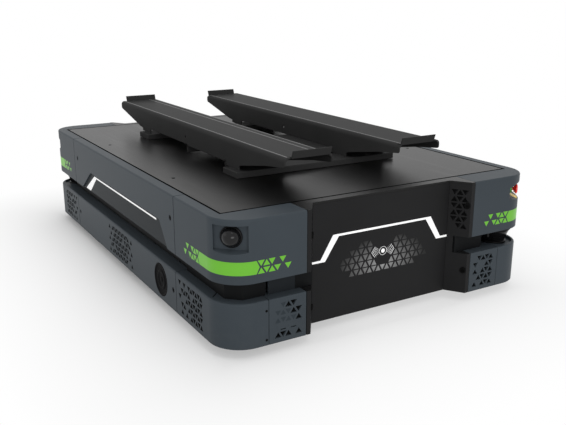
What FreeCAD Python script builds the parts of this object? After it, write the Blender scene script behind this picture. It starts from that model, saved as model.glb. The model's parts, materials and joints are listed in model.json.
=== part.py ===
"""Autonomous mobile robot with a lifting top: a low rectangular vehicle that charges at its front panel.

Millimetres. Origin on the floor under the centre of the body, +Z up, width along X; the charging panel
faces -Y. The body is the same after half a turn about Z, so most pieces are built once and placed twice.
"""
import FreeCAD, Part
import math
import os
import Sketcher
from FreeCAD import Placement, Rotation, Vector

TURN_HALF = Rotation(Vector(0, 0, 1), 180)
STOP_TURN = 45

SIZES = {
    # body envelope
    "half_width": 525, "half_length": 788, "corner_radius": 90, "ground_clearance": 30,
    "bumper_top": 153.5, "cover_bottom": 205, "deck_top": 371.5, "sheet": 6, "edge_round": 5,
    # seams and inner edges of the covers
    "cover_inner": 491, "header_inner": 705, "deck_gap": 4, "cap_seam": 490, "bumper_seam": 485,
    "seam_gap": 3, "block_inner": 288, "vent_seam": 401, "bumper_inner": 483, "bumper_back": 690,
    # front bay between the two corner blocks
    "panel_half": 237.5, "panel_front": 734.5, "flange_inner": 274.6, "infill_sheet": 4,
    "screen_front": 756, "screen_back": 750, "screen_inner": 251,
    "screen_camera": 383, "screen_scanner": 360, "infill_vent_low": 230,
    # nameplate recess in the side cover
    "recess_top": 279, "recess_depth": 6, "recess_front": 376, "recess_front_low": 432,
    "recess_rear": 290, "recess_rear_low": 402,
    # light strip
    "strip_low": 229, "strip_high": 264, "strip_depth": 3, "strip_front": 434, "strip_side": 650,
    "strip_point": 8.5, "strip_step": 15.4, "strip_first": 13,
    # corner pockets
    "camera_level": 324, "camera_top": 355.5, "camera_floor": 291, "camera_mouth": 284, "camera_wide": 90,
    "camera_depth": 20, "camera_turn": 47.5, "dome_radius": 24.5, "dome_rim": 4,
    "estop_level": 318.5, "estop_open": 57, "estop_floor": 32, "estop_wide": 150, "estop_depth": 28,
    "collar_radius": 12, "button_radius": 15, "button_press": 4,
    # lattice of triangular vents
    "vent_step": 15.5, "vent_half": 9.8, "vent_high": 15.4, "vent_row": 20.3, "vent_low": 42.8,
    # scanners
    "scanner_x": 455, "scanner_y": 716, "dish_radius": 56, "dish_depth": 8,
    # frame
    "frame_half": 480, "frame_low": 60, "frame_flange": 40, "cross_y": 661, "cross_flange": 25,
    "frame_sheet": 6, "axle_plate_low": 245, "axle_plate": 10, "axle_plate_end": 300, "belly_end": 240,
    # drive unit and caster
    "drive_x": 250, "drive_y": 450, "drive_radius": 100, "drive_width": 80, "kingpin_radius": 25,
    "caster_x": 310, "caster_y": 520, "caster_radius": 75, "caster_width": 50, "caster_trail": 45,
    "swivel_radius": 12, "running": 0.06, "table_gap": 0.6,
    # lift
    "post_x": 190, "post_y": 360, "post_radius": 24, "actuator_radius": 40, "deck_hole": 32,
    "beam_half": 290, "beam_inner": 315, "beam_outer": 406, "beam_low": 373, "beam_top": 391.5,
    "rail_inner": 116, "rail_outer": 270, "rail_top": 475.5, "rail_sheet": 4, "rail_round": 12,
    "rail_front": 645, "rail_rear": 665, "rail_web": 407, "nose_low": 449,
    "tab_middle": 185, "tab_wide": 124, "tab_high": 18,
    "tie_half": 270, "tie_front": 291, "tie_low": 380,
    # battery and controller
    "battery_x": 360, "battery_y": 220, "battery_tall": 165, "control_x": 180, "control_near": 420,
    "control_far": 640, "control_tall": 90,
    # small parts
    "screw_radius": 7, "screw_seat": 8, "bolt_radius": 9, "bolt_high": 301, "bolt_low": 102,
    "speaker_radius": 50, "speaker_y": 368, "side_level": 92, "eye_x": 444, "eye_y": 297, "eye_radius": 6, "coil_level": 197,
    "coil_radius": 90,
}

os.makedirs("parts", exist_ok=True)
doc = FreeCAD.newDocument("MobileRobot")
sheet = doc.addObject("Spreadsheet::Sheet", "Sizes")
for row, (word, number) in enumerate(SIZES.items(), start=1):
    sheet.set(f"A{row}", word)
    sheet.set(f"B{row}", str(number))
    sheet.setAlias(f"B{row}", word)
doc.recompute()


class Size:
    """A number of the sheet, or a sum of such numbers, that remembers its formula."""

    def __init__(self, value, text):
        self.value, self.text = value, text

    def join(self, other, sign, swap=False):
        other = size(other)
        first, second = (other, self) if swap else (self, other)
        value = {"+": lambda a, b: a + b, "-": lambda a, b: a - b,
                 "*": lambda a, b: a * b, "/": lambda a, b: a / b}[sign](first.value, second.value)
        return Size(value, f"({first.text} {sign} {second.text})")

    def __add__(self, other): return self.join(other, "+")
    def __radd__(self, other): return self.join(other, "+", True)
    def __sub__(self, other): return self.join(other, "-")
    def __rsub__(self, other): return self.join(other, "-", True)
    def __mul__(self, other): return self.join(other, "*")
    def __rmul__(self, other): return self.join(other, "*", True)
    def __truediv__(self, other): return self.join(other, "/")
    def __neg__(self): return Size(-self.value, f"(0 - {self.text})")


def size(item):
    return item if isinstance(item, Size) else Size(float(item), repr(float(item)))


class Sheet:
    """Reads a driving dimension of the sheet as a Size: S.half_width."""

    def __getattr__(self, word):
        return Size(float(sheet.get(word)), f"Sizes.{word}")


S = Sheet()
nodes = {}


def keep(name, item, turned=False):
    """Gives a finished piece its name and, for the second of a pair, its half turn."""
    item.Label = name
    if turned:
        item.Placement = Placement(Vector(), TURN_HALF)
    nodes[name] = item
    return item


def newBody(name):
    return doc.addObject("PartDesign::Body", name)


def originPlane(body, role):
    return next(item for item in body.Origin.OriginFeatures if item.Role == role)


def newSketch(body, name, role, lift=0, place=None):
    """A sketch on one of the body's own planes, raised along the plane's normal by lift."""
    sketch = body.newObject("Sketcher::SketchObject", f"{body.Name}_{name}")
    sketch.AttachmentSupport = [(originPlane(body, role), "")]
    sketch.MapMode = "FlatFace"
    if place is not None:
        sketch.AttachmentOffset = place
    else:
        lift = size(lift)
        sketch.AttachmentOffset = Placement(Vector(0, 0, lift.value), Rotation())
        sketch.setExpression("AttachmentOffset.Base.z", lift.text)
    return sketch


def pin(sketch, edge, end, point):
    """Holds one end of an edge at a point measured from the sketch's origin."""
    for kind, coordinate, axis in (("DistanceX", point[0], -2), ("DistanceY", point[1], -1)):
        if abs(coordinate.value) < 1e-9:
            sketch.addConstraint(Sketcher.Constraint("PointOnObject", edge, end, axis))
        else:
            index = sketch.addConstraint(Sketcher.Constraint(kind, -1, 1, edge, end, coordinate.value))
            sketch.setExpression(f"Constraints[{index}]", coordinate.text)


def polygon(sketch, corners):
    """A closed outline of straight edges through the corners, each held by two sizes."""
    corners = [(size(first), size(second)) for first, second in corners]
    points = [Vector(first.value, second.value, 0) for first, second in corners]
    start = sketch.GeometryCount
    count = len(points)
    for index in range(count):
        sketch.addGeometry(Part.LineSegment(points[index], points[(index + 1) % count]), False)
    for index in range(count):
        following = start + (index + 1) % count
        sketch.addConstraint(Sketcher.Constraint("Coincident", start + index, 2, following, 1))
    for index, corner in enumerate(corners):
        pin(sketch, start + index, 1, corner)
    return sketch


def circle(sketch, centre, radius):
    centre, radius = (size(centre[0]), size(centre[1])), size(radius)
    middle = Vector(centre[0].value, centre[1].value, 0)
    edge = sketch.addGeometry(Part.Circle(middle, Vector(0, 0, 1), radius.value), False)
    index = sketch.addConstraint(Sketcher.Constraint("Radius", edge, radius.value))
    sketch.setExpression(f"Constraints[{index}]", radius.text)
    pin(sketch, edge, 3, centre)


def rectangle(sketch, low, high):
    return polygon(sketch, [low, (high[0], low[1]), high, (low[0], high[1])])


def pad(body, sketch, length, reversed_=False, midplane=False):
    feature = body.newObject("PartDesign::Pad", f"{sketch.Name}_pad")
    feature.Profile = sketch
    feature.Midplane = midplane
    feature.Reversed = reversed_
    length = size(length)
    feature.Length = length.value
    feature.setExpression("Length", length.text)
    doc.recompute()
    return feature


def pocket(body, sketch, length, reversed_=False, midplane=False):
    """Cuts the sketch into the body and makes sure that something was cut."""
    before = body.Shape.Volume
    feature = body.newObject("PartDesign::Pocket", f"{sketch.Name}_cut")
    feature.Profile = sketch
    feature.Midplane = midplane
    feature.Reversed = reversed_
    length = size(length)
    feature.Length = length.value
    feature.setExpression("Length", length.text)
    doc.recompute()
    if not body.Shape.Volume < before - 1e-6:
        raise RuntimeError(f"{sketch.Name} cuts nothing")
    return feature


def edgesWhere(shape, test):
    """Names of the edges whose two ends, and middle, all pass the test."""
    names = []
    for index, edge in enumerate(shape.Edges, start=1):
        middle = edge.valueAt((edge.FirstParameter + edge.LastParameter) / 2)
        if all(test(point) for point in [vertex.Point for vertex in edge.Vertexes] + [middle]):
            names.append(f"Edge{index}")
    return names


def fillet(body, radius, test):
    base = body.Tip
    names = edgesWhere(base.Shape, test)
    if not names:
        raise RuntimeError(f"{body.Name}: no edge to round")
    feature = body.newObject("PartDesign::Fillet", f"{body.Name}_round{len(body.Group)}")
    feature.Base = (base, names)
    radius = size(radius)
    feature.Radius = radius.value
    feature.setExpression("Radius", radius.text)
    doc.recompute()
    return feature


def revolve(body, corners):
    """Turns an outline of (radius, height) pairs about the body's Z axis."""
    sketch = polygon(newSketch(body, "profile", "XZ_Plane"), corners)
    feature = body.newObject("PartDesign::Revolution", f"{body.Name}_revolve")
    feature.Profile = sketch
    feature.ReferenceAxis = (sketch, ["V_Axis"])
    feature.Angle = 360
    doc.recompute()
    return feature


def near(first, second):
    return abs(first - second) < 0.02


def alongZ(x, y):
    """Test for the upright edge that stands at x, y."""
    return lambda point: near(point.x, x) and near(point.y, y)


def placeFacing(body, place, direction):
    """Puts a body that was made about Z so that its +Z looks along a direction."""
    body.Placement = Placement(place, Rotation(Vector(0, 0, 1), direction))


def triangle(sketch, middle, bottom, half, tall, up):
    """One triangle of the sketch, standing on its base or on its tip."""
    base, tip = (bottom, bottom + tall) if up else (bottom + tall, bottom)
    points = [Vector(middle - half, base, 0), Vector(middle + half, base, 0), Vector(middle, tip, 0)]
    for start in range(3):
        sketch.addGeometry(Part.LineSegment(points[start], points[(start + 1) % 3]), False)


def triangleGrid(sketch, first, low, columns, rows, squeeze=1.0, gone=()):
    """Rows of triangles that point up and down by turns, with even bars between them.

    The first column's middle is at first. squeeze narrows the lattice along the sketch for a slanted wall.
    """
    step, half = S.vent_step.value * squeeze, S.vent_half.value * squeeze
    for row in range(rows):
        for column in range(columns):
            if (column, row) not in gone:
                bottom = size(low).value + S.vent_row.value * row
                up = (column + row) % 2 == 0
                triangle(sketch, first + step * column, bottom, half, S.vent_high.value, up)
    return sketch


# Body covers

def roundCorner(body, side):
    fillet(body, S.corner_radius, alongZ(side * S.half_width.value, -S.half_length.value))


def roundRim(body, side, level):
    """Rounds the outer edge of a corner piece at one level."""
    half_width, half_length = S.half_width.value, S.half_length.value
    centre = Vector(side * (half_width - S.corner_radius.value), -(half_length - S.corner_radius.value), 0)

    def onRim(point):
        if not near(point.z, level.value):
            return False
        flat = Vector(point.x, point.y, 0)
        inArc = abs((flat - centre).Length - S.corner_radius.value) < 0.02
        return near(abs(point.x), half_width) or near(point.y, -half_length) or inArc
    fillet(body, S.edge_round, onRim)


def lightStrip(name, side):
    """The lens round a corner, with the loose triangles in which it ends on both sides."""
    band = newBody(f"{name}_band")
    outer_x, outer_y = side * S.half_width, -S.half_length
    inner_x, inner_y = side * (S.half_width - S.strip_depth), -(S.half_length - S.strip_depth)
    plan = newSketch(band, "plan", "XY_Plane", S.strip_low)
    front_end, side_end = side * (S.strip_front - S.strip_point), -(S.strip_side - S.strip_point)
    polygon(plan, [(front_end, outer_y), (outer_x, outer_y), (outer_x, side_end),
                   (inner_x, side_end), (inner_x, inner_y), (front_end, inner_y)])
    pad(band, plan, S.strip_high - S.strip_low)
    fillet(band, S.corner_radius, alongZ(outer_x.value, outer_y.value))
    fillet(band, S.corner_radius - S.strip_depth, alongZ(inner_x.value, inner_y.value))
    middle = (S.strip_low + S.strip_high) / 2
    front_notch = ("front", "XZ_Plane", front_end, -outer_y, side * S.strip_point)
    side_notch = ("side", "YZ_Plane", side_end, outer_x, -S.strip_point)
    for word, role, end, lift, back in (front_notch, side_notch):
        for height, level in (("low", S.strip_low), ("high", S.strip_high)):
            notch = newSketch(band, f"{word}_notch_{height}", role, lift)
            polygon(notch, [(end, middle), (end, level), (end + back, level)])
            pocket(band, notch, S.strip_depth * 4, midplane=True)

    pieces = [band]
    for where, start in (("front", S.strip_front.value), ("side", S.strip_side.value)):
        sketch = doc.addObject("Sketcher::SketchObject", f"{name}_{where}")
        stripTriangles(sketch)
        upright = Rotation(Vector(1, 0, 0), 90)
        if where == "front":
            turn = Rotation(Vector(0, 0, 1), 180).multiply(upright) if side > 0 else upright
            place = Vector(side * start, -S.half_length.value, S.strip_low.value)
            inward = Vector(0, 1, 0)
        else:
            turn = Rotation(Vector(0, 0, 1), 90).multiply(upright)
            place = Vector(side * S.half_width.value, -start, S.strip_low.value)
            inward = Vector(-side, 0, 0)
        sketch.Placement = Placement(place, turn)
        block = doc.addObject("Part::Extrusion", f"{name}_{where}_triangles")
        block.Base = sketch
        block.DirMode = "Custom"
        block.Dir = inward
        block.Solid = True
        block.LengthFwd = S.strip_depth.value
        block.setExpression("LengthFwd", S.strip_depth.text)
        pieces.append(block)
    strip = doc.addObject("Part::Compound", name)
    strip.Links = pieces
    doc.recompute()
    return strip


def stripTriangles(sketch):
    """Triangles beyond the strip's end, counted from the corners of the lens: two rows that thin out."""
    tall = S.vent_high.value
    rows = ((0, 0, (0, 1, 2, 3, 5)), (1, (S.strip_high - S.strip_low).value - tall, (0, 1, 2, 4)))
    for row, bottom, columns in rows:
        for column in columns:
            middle = S.strip_first.value + S.strip_step.value * column
            triangle(sketch, middle, bottom, S.vent_half.value, tall, (column + row) % 2 == 0)


def diagonalPlace(side, turn):
    """A sketch place in the upright plane through the corner's centre line, its x pointing outwards."""
    turned = Rotation(Vector(0, 1, 0), -turn if side > 0 else turn - 180)
    centre_x = side * (S.half_width.value - S.corner_radius.value)
    centre_y = -(S.half_length.value - S.corner_radius.value)
    return Placement(Vector(centre_x, 0, -centre_y), turned)


def cornerDirection(side, turn):
    """The level direction out of a corner, turned from the vehicle's side towards its end."""
    angle = math.radians(turn)
    return Vector(side * math.cos(angle), -math.sin(angle), 0)


def cornerPoint(side, turn, outwards, level):
    """The point at a distance from the corner's centre line."""
    centre = Vector(side * (S.half_width.value - S.corner_radius.value),
                    -(S.half_length.value - S.corner_radius.value), level)
    return centre + cornerDirection(side, turn) * outwards


def cornerCap(name, side, holds, turned=False):
    """Corner piece of the upper band, with a pocket across its corner for the camera or the stop button."""
    body = newBody(f"{name}_shell")
    plan = newSketch(body, "plan", "XY_Plane", S.cover_bottom)
    polygon(plan, [(side * S.block_inner, -S.half_length), (side * S.half_width, -S.half_length),
                   (side * S.half_width, -S.cap_seam), (side * S.cover_inner, -S.cap_seam),
                   (side * S.cover_inner, -S.header_inner), (side * S.block_inner, -S.header_inner)])
    pad(body, plan, S.deck_top - S.cover_bottom)
    roundCorner(body, side)
    roundRim(body, side, S.deck_top)
    hollow = newSketch(body, "hollow", "XY_Plane", S.cover_bottom)
    rectangle(hollow, (side * (S.cover_inner + 5), -640), (side * (S.half_width - 8), -(S.cap_seam + 5)))
    rectangle(hollow, (side * (S.block_inner + 5), -(S.half_length - 8)),
              (side * S.vent_seam, -(S.header_inner + 5)))
    pocket(body, hollow, S.deck_top - S.cover_bottom - 5, reversed_=True)

    beyond = 12
    if holds == "camera":
        turn, wide, depth = S.camera_turn.value, S.camera_wide, S.camera_depth
        floor_low, floor_high, mouth_high = S.camera_floor, S.camera_top, S.camera_top
        mouth_low = floor_low + (S.camera_mouth - S.camera_floor) * (depth + beyond) / depth
    else:
        turn, wide, depth = STOP_TURN, S.estop_wide, S.estop_depth
        floor_low, floor_high = S.estop_level - S.estop_floor / 2, S.estop_level + S.estop_floor / 2
        spread = (S.estop_open - S.estop_floor) / 2 * (depth + beyond) / depth
        mouth_low, mouth_high = floor_low - spread, floor_high + spread
    floor_at, out_at = S.corner_radius - depth, S.corner_radius + beyond
    recess = newSketch(body, "recess", "XZ_Plane", place=diagonalPlace(side, turn))
    polygon(recess, [(floor_at, floor_low), (out_at, mouth_low),
                     (out_at, mouth_high), (floor_at, floor_high)])
    pocket(body, recess, wide, midplane=True)

    groove = lightStrip(f"{name}_strip", side)
    cap = doc.addObject("Part::Cut", name)
    cap.Base, cap.Tool = body, groove
    doc.recompute()
    return keep(name, cap, turned)


def roundEdge(body, level):
    """Rounds the outer edge of a side piece at one level."""
    fillet(body, S.edge_round, lambda p: near(p.x, -S.half_width.value) and near(p.z, level.value))


def upperCover(name, turned):
    """Side piece of the upper band, with the shallow trapezoid recess that opens at its lower edge."""
    body = newBody(name)
    end = S.cap_seam - S.seam_gap
    plan = newSketch(body, "plan", "XY_Plane", S.cover_bottom)
    rectangle(plan, (-S.half_width, -end), (-S.cover_inner, end))
    pad(body, plan, S.deck_top - S.cover_bottom)
    roundEdge(body, S.deck_top)
    hollow = newSketch(body, "hollow", "XY_Plane", S.cover_bottom)
    rectangle(hollow, (-(S.half_width - 13), -(end - 6)), (-(S.cover_inner + 5), end - 6))
    pocket(body, hollow, S.deck_top - S.cover_bottom - 5, reversed_=True)
    recess = newSketch(body, "recess", "YZ_Plane", -S.half_width)
    polygon(recess, [(S.recess_rear, S.recess_top), (-S.recess_front, S.recess_top),
                     (-S.recess_front_low, S.cover_bottom), (S.recess_rear_low, S.cover_bottom)])
    pocket(body, recess, S.recess_depth, reversed_=True)
    seats = newSketch(body, "seats", "YZ_Plane", -S.half_width)
    for along, level in COVER_SCREWS:
        circle(seats, (along, level), S.screw_seat)
    pocket(body, seats, 4, reversed_=True)
    return keep(name, body, turned)


def sideSkirt(name, turned):
    """Side piece of the lower band: a folded sheet with a shelf towards the frame and a field of vents."""
    body = newBody(name)
    end = S.bumper_seam - S.seam_gap
    inner, shelf = S.half_width - 7, S.bumper_top - S.sheet
    section = newSketch(body, "section", "XZ_Plane", -end)
    polygon(section, [(-S.half_width, S.ground_clearance), (-inner, S.ground_clearance), (-inner, shelf),
                      (-S.bumper_inner, shelf), (-S.bumper_inner, S.bumper_top),
                      (-S.half_width, S.bumper_top)])
    pad(body, section, end * 2)
    roundEdge(body, S.bumper_top)
    field = newSketch(body, "vents", "YZ_Plane", -S.half_width)
    triangleGrid(field, -115.5, S.vent_low, 15, 5, gone=SIDE_GAPS)
    pocket(body, field, 9, reversed_=True)
    seats = newSketch(body, "seats", "YZ_Plane", -S.half_width)
    circle(seats, (-S.speaker_y, S.side_level), S.speaker_radius + 0.5)
    pocket(body, seats, 4, reversed_=True)
    screws = newSketch(body, "screws", "YZ_Plane", -S.half_width)
    for along, level in SKIRT_SCREWS:
        circle(screws, (along, level), S.screw_seat)
    pocket(body, screws, 4, reversed_=True)
    return keep(name, body, turned)


# Middles of the screws in the side pieces, as (length along Y, height).
COVER_SCREWS = [(-461, 304), (448, 304)]
SKIRT_SCREWS = [(-462, 92), (462, 92)]

# Places of the lattice that stay closed, as (column, row) with row 0 at the bottom.
SIDE_GAPS = [(1, 4), (13, 4), (0, 3), (5, 3), (12, 3), (14, 3), (1, 2), (13, 2), (0, 1), (2, 1), (11, 1),
             (14, 1), (1, 0), (2, 0), (13, 0)]
BUMPER_GAPS = [(6, 4), (8, 4), (4, 3), (9, 3), (7, 2), (8, 2), (6, 1), (9, 1), (5, 0), (7, 0), (9, 0)]
CAMERA_SIDE_GAPS = [(0, 4), (1, 4), (4, 4), (0, 3), (1, 3), (2, 3), (0, 2), (1, 2), (2, 2), (3, 2), (0, 1),
                    (1, 1), (2, 1), (3, 1), (4, 1), (3, 0)]
SCANNER_SIDE_GAPS = [(0, 4), (1, 3), (2, 3), (1, 2), (0, 1), (1, 0)]


def cornerBumper(name, side, scanner, turned=False):
    """Corner piece of the lower band, with vents in its side and, for a scanner, a round dish in its top."""
    body = newBody(name)
    plan = newSketch(body, "plan", "XY_Plane", S.ground_clearance)
    polygon(plan, [(side * S.vent_seam, -S.half_length), (side * S.half_width, -S.half_length),
                   (side * S.half_width, -S.bumper_seam), (side * S.bumper_inner, -S.bumper_seam),
                   (side * S.bumper_inner, -S.bumper_back), (side * S.vent_seam, -S.bumper_back)])
    pad(body, plan, S.bumper_top - S.ground_clearance)
    roundCorner(body, side)
    roundRim(body, side, S.bumper_top)
    hollow = newSketch(body, "hollow", "XY_Plane", S.ground_clearance)
    rectangle(hollow, (side * (S.bumper_inner + S.sheet), -(S.bumper_back - 10)),
              (side * (S.half_width - 7), -(S.bumper_seam + S.sheet)))
    pocket(body, hollow, S.bumper_top - S.ground_clearance - S.sheet, reversed_=True)
    field = newSketch(body, "vents", "YZ_Plane", side * S.half_width)
    triangleGrid(field, -650, S.vent_low, 10, 5, gone=BUMPER_GAPS)
    pocket(body, field, 9, reversed_=side < 0)
    if scanner:
        dish = newSketch(body, "dish", "XY_Plane", S.bumper_top)
        circle(dish, (side * S.scanner_x, -S.scanner_y), S.dish_radius)
        pocket(body, dish, S.dish_depth)
    else:
        slotWall(body, side)
    return keep(name, body, turned)


def slotWall(body, side):
    """Upright wall behind the slot, which follows the corner with a flat between its two legs."""
    front, back, thick = S.screen_front, S.bumper_inner + 3, S.screen_front - S.screen_back
    start, corner = S.screen_camera + 9, 34
    wall = newSketch(body, "wall", "XY_Plane", S.bumper_top)
    polygon(wall, [(side * start, -front), (side * (back + thick - corner), -front),
                   (side * (back + thick), -(front - corner)),
                   (side * (back + thick), -(S.bumper_seam + 1)),
                   (side * back, -(S.bumper_seam + 1)), (side * back, -(front - corner - thick / 2)),
                   (side * (back + thick / 2 - corner), -(front - thick)),
                   (side * start, -(front - thick))])
    pad(body, wall, S.cover_bottom - S.bumper_top - 0.5)


def ventCovers(name, turned):
    """The two front pieces of the lower band, with vents and a screen that closes the slot above them."""
    covers = []
    for side, word in ((-1, "left"), (1, "right")):
        body = newBody(f"{name}_{word}")
        plan = newSketch(body, "plan", "XY_Plane", S.ground_clearance)
        low_x, high_x = side * (S.block_inner + 1), side * (S.vent_seam - S.seam_gap / 2)
        rectangle(plan, (low_x, -S.half_length), (high_x, -735))
        pad(body, plan, S.bumper_top - S.ground_clearance)
        hollow = newSketch(body, "hollow", "XY_Plane", S.ground_clearance)
        rectangle(hollow, (low_x + side * 5, -(S.half_length - 6)), (high_x - side * 5, -740))
        pocket(body, hollow, S.bumper_top - S.ground_clearance - S.sheet, reversed_=True)
        screen = newSketch(body, "screen", "XY_Plane", S.bumper_top)
        screen_end = S.screen_camera if side < 0 else S.screen_scanner
        rectangle(screen, (side * S.screen_inner, -S.screen_front), (side * screen_end, -S.screen_back))
        pad(body, screen, S.cover_bottom - S.bumper_top)
        field = newSketch(body, "vents", "XZ_Plane", S.half_length)
        first = -373.5 if side < 0 else 311.5
        gone = CAMERA_SIDE_GAPS if side < 0 else SCANNER_SIDE_GAPS
        triangleGrid(field, first, S.vent_low, 5, 5, gone=gone)
        if side < 0:
            for column in (1, 3):
                middle = first + S.vent_step * column
                slit_low = S.vent_low + S.vent_row
                rectangle(field, (middle - 8, slit_low), (middle + 8, slit_low + 2.8))
        pocket(body, field, 8)
        covers.append(body)
    both = doc.addObject("Part::Compound", name)
    both.Links = covers
    return keep(name, both, turned)


def bayInfill(name, turned):
    """The slanted walls at both sides of the bay: flange, slant and return in one folded sheet each."""
    walls = []
    sheet_ = S.infill_sheet
    for side, word in ((-1, "left"), (1, "right")):
        body = newBody(f"{name}_{word}")
        plan = newSketch(body, "plan", "XY_Plane", S.ground_clearance)
        polygon(plan, [(side * (S.block_inner - 1), -S.half_length), (side * S.flange_inner, -S.half_length),
                       (side * (S.panel_half + 0.5), -S.panel_front), (side * (S.panel_half + 0.5), -715),
                       (side * (S.panel_half + 0.5 + sheet_), -715),
                       (side * (S.panel_half + 0.5 + sheet_), -(S.panel_front - 1.2)),
                       (side * (S.flange_inner + 2), -(S.half_length - sheet_)),
                       (side * (S.block_inner - 1), -(S.half_length - sheet_))])
        pad(body, plan, S.deck_top - S.sheet - S.ground_clearance)
        slot = newSketch(body, "slot", "XY_Plane", S.cover_bottom)
        rectangle(slot, (side * S.panel_half, -(S.half_length + 1)), (side * S.block_inner, -S.screen_back))
        pocket(body, slot, S.cover_bottom - S.bumper_top)
        shelf = newSketch(body, "shelf", "XY_Plane", S.bumper_top - S.sheet)
        polygon(shelf, [(side * (S.block_inner - 1), -(S.half_length - 2)),
                        (side * S.flange_inner, -(S.half_length - 2)),
                        (side * (S.screen_inner + 1), -S.screen_back),
                        (side * (S.block_inner - 1), -S.screen_back)])
        pad(body, shelf, S.sheet)
        field = newSketch(body, "vents", "XZ_Plane", S.half_length)
        run, rise = S.flange_inner - S.panel_half, S.half_length - S.panel_front
        squeeze = run.value / math.hypot(run.value, rise.value)
        nearest = S.panel_half.value + 17 * squeeze
        farthest = nearest + 2 * S.vent_step.value * squeeze
        first = -farthest if side < 0 else nearest
        triangleGrid(field, first, S.infill_vent_low, 3, 6, squeeze, gone=[(2 if side < 0 else 0, 0)])
        pocket(body, field, 60)
        walls.append(body)
    both = doc.addObject("Part::Compound", name)
    both.Links = walls
    return keep(name, both, turned)


def bayHeader(name, turned):
    """Top sheet between the corner blocks, cut back over the bay."""
    body = newBody(name)
    plan = newSketch(body, "plan", "XY_Plane", S.deck_top - S.sheet + 0.5)
    inner = S.block_inner - 1.5
    half = [(inner, -S.header_inner), (inner, -S.half_length), (S.flange_inner, -S.half_length),
            (S.panel_half + 0.5, -S.panel_front)]
    polygon(plan, half + [(-first, second) for first, second in reversed(half)])
    pad(body, plan, S.sheet - 0.5)
    return keep(name, body, turned)


def bayPanel(name, turned):
    """The flat panel at the back of the bay."""
    body = newBody(name)
    face = newSketch(body, "face", "XZ_Plane", S.panel_front)
    rectangle(face, (-S.panel_half, S.ground_clearance), (S.panel_half, S.deck_top - S.sheet))
    pad(body, face, S.sheet, reversed_=True)
    return keep(name, body, turned)


def topDeck():
    body = newBody("top_deck")
    half_x, half_y = S.cover_inner - S.deck_gap, S.header_inner - S.deck_gap
    plan = newSketch(body, "plan", "XY_Plane", S.deck_top - S.sheet)
    rectangle(plan, (-half_x, -half_y), (half_x, half_y))
    pad(body, plan, S.sheet)
    holes = newSketch(body, "holes", "XY_Plane", S.deck_top)
    for side in (-1, 1):
        for end in (-1, 1):
            circle(holes, (side * S.post_x, end * S.post_y), S.deck_hole)
            circle(holes, (side * S.eye_x, end * S.eye_y), S.eye_radius)
    pocket(body, holes, S.sheet)
    return keep("top_deck", body)


# Frame and inner parts

def channel(body, name, role, lift, corners_of, length):
    sketch = polygon(newSketch(body, name, role, lift), corners_of)
    pad(body, sketch, length, midplane=True)


def sideBeam(name, turned):
    """Folded channel along the side, its open side towards the middle."""
    body = newBody(name)
    outer, sheet_, flange = -S.frame_half, S.frame_sheet, S.frame_flange
    low, high = S.frame_low, S.deck_top - S.sheet
    channel(body, "section", "XZ_Plane", 0,
            [(outer, low), (outer + flange, low),
             (outer + flange, low + sheet_), (outer + sheet_, low + sheet_),
             (outer + sheet_, high - sheet_), (outer + flange, high - sheet_), (outer + flange, high),
             (outer, high)], S.cross_y * 2 - 4)
    return keep(name, body, turned)


def endCross(name, turned):
    """Folded sheet across the end: its top flange looks inwards, its bottom flange outwards."""
    body = newBody(name)
    outer, sheet_, flange = -S.cross_y, S.frame_sheet, S.frame_flange
    low, high = S.frame_low, S.deck_top - S.sheet * 2
    channel(body, "section", "YZ_Plane", 0,
            [(outer - S.cross_flange, low), (outer + sheet_, low), (outer + sheet_, high - sheet_),
             (outer + flange, high - sheet_), (outer + flange, high), (outer, high), (outer, low + sheet_),
             (outer - S.cross_flange, low + sheet_)], (S.frame_half - S.frame_flange - 1) * 2)
    return keep(name, body, turned)


def axlePlate(name, turned):
    """Plate that carries the drive unit's turntable, the caster's swivel and two lift actuators."""
    body = newBody(name)
    plan = newSketch(body, "plan", "XY_Plane", S.axle_plate_low)
    inner = S.frame_half - S.frame_sheet
    rectangle(plan, (-inner, -(S.cross_y - S.frame_sheet)), (inner, -S.axle_plate_end))
    pad(body, plan, S.axle_plate)
    holes = newSketch(body, "holes", "XY_Plane", S.axle_plate_low)
    circle(holes, (S.drive_x, -S.drive_y), S.kingpin_radius + S.running)
    circle(holes, (-S.caster_x, -S.caster_y), S.swivel_radius + S.running)
    pocket(body, holes, S.axle_plate, reversed_=True)
    return keep(name, body, turned)


def box(name, low, high):
    """A plain Part::Box between two corners."""
    item = doc.addObject("Part::Box", name)
    low, high = [size(one) for one in low], [size(one) for one in high]
    for prop, first, second in zip(("Length", "Width", "Height"), low, high):
        item.setExpression(prop, (second - first).text)
    item.Placement = Placement(Vector(*[one.value for one in low]), Rotation())
    for letter, one in zip("xyz", low):
        item.setExpression(f"Placement.Base.{letter}", one.text)
    return keep(name, item)


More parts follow.
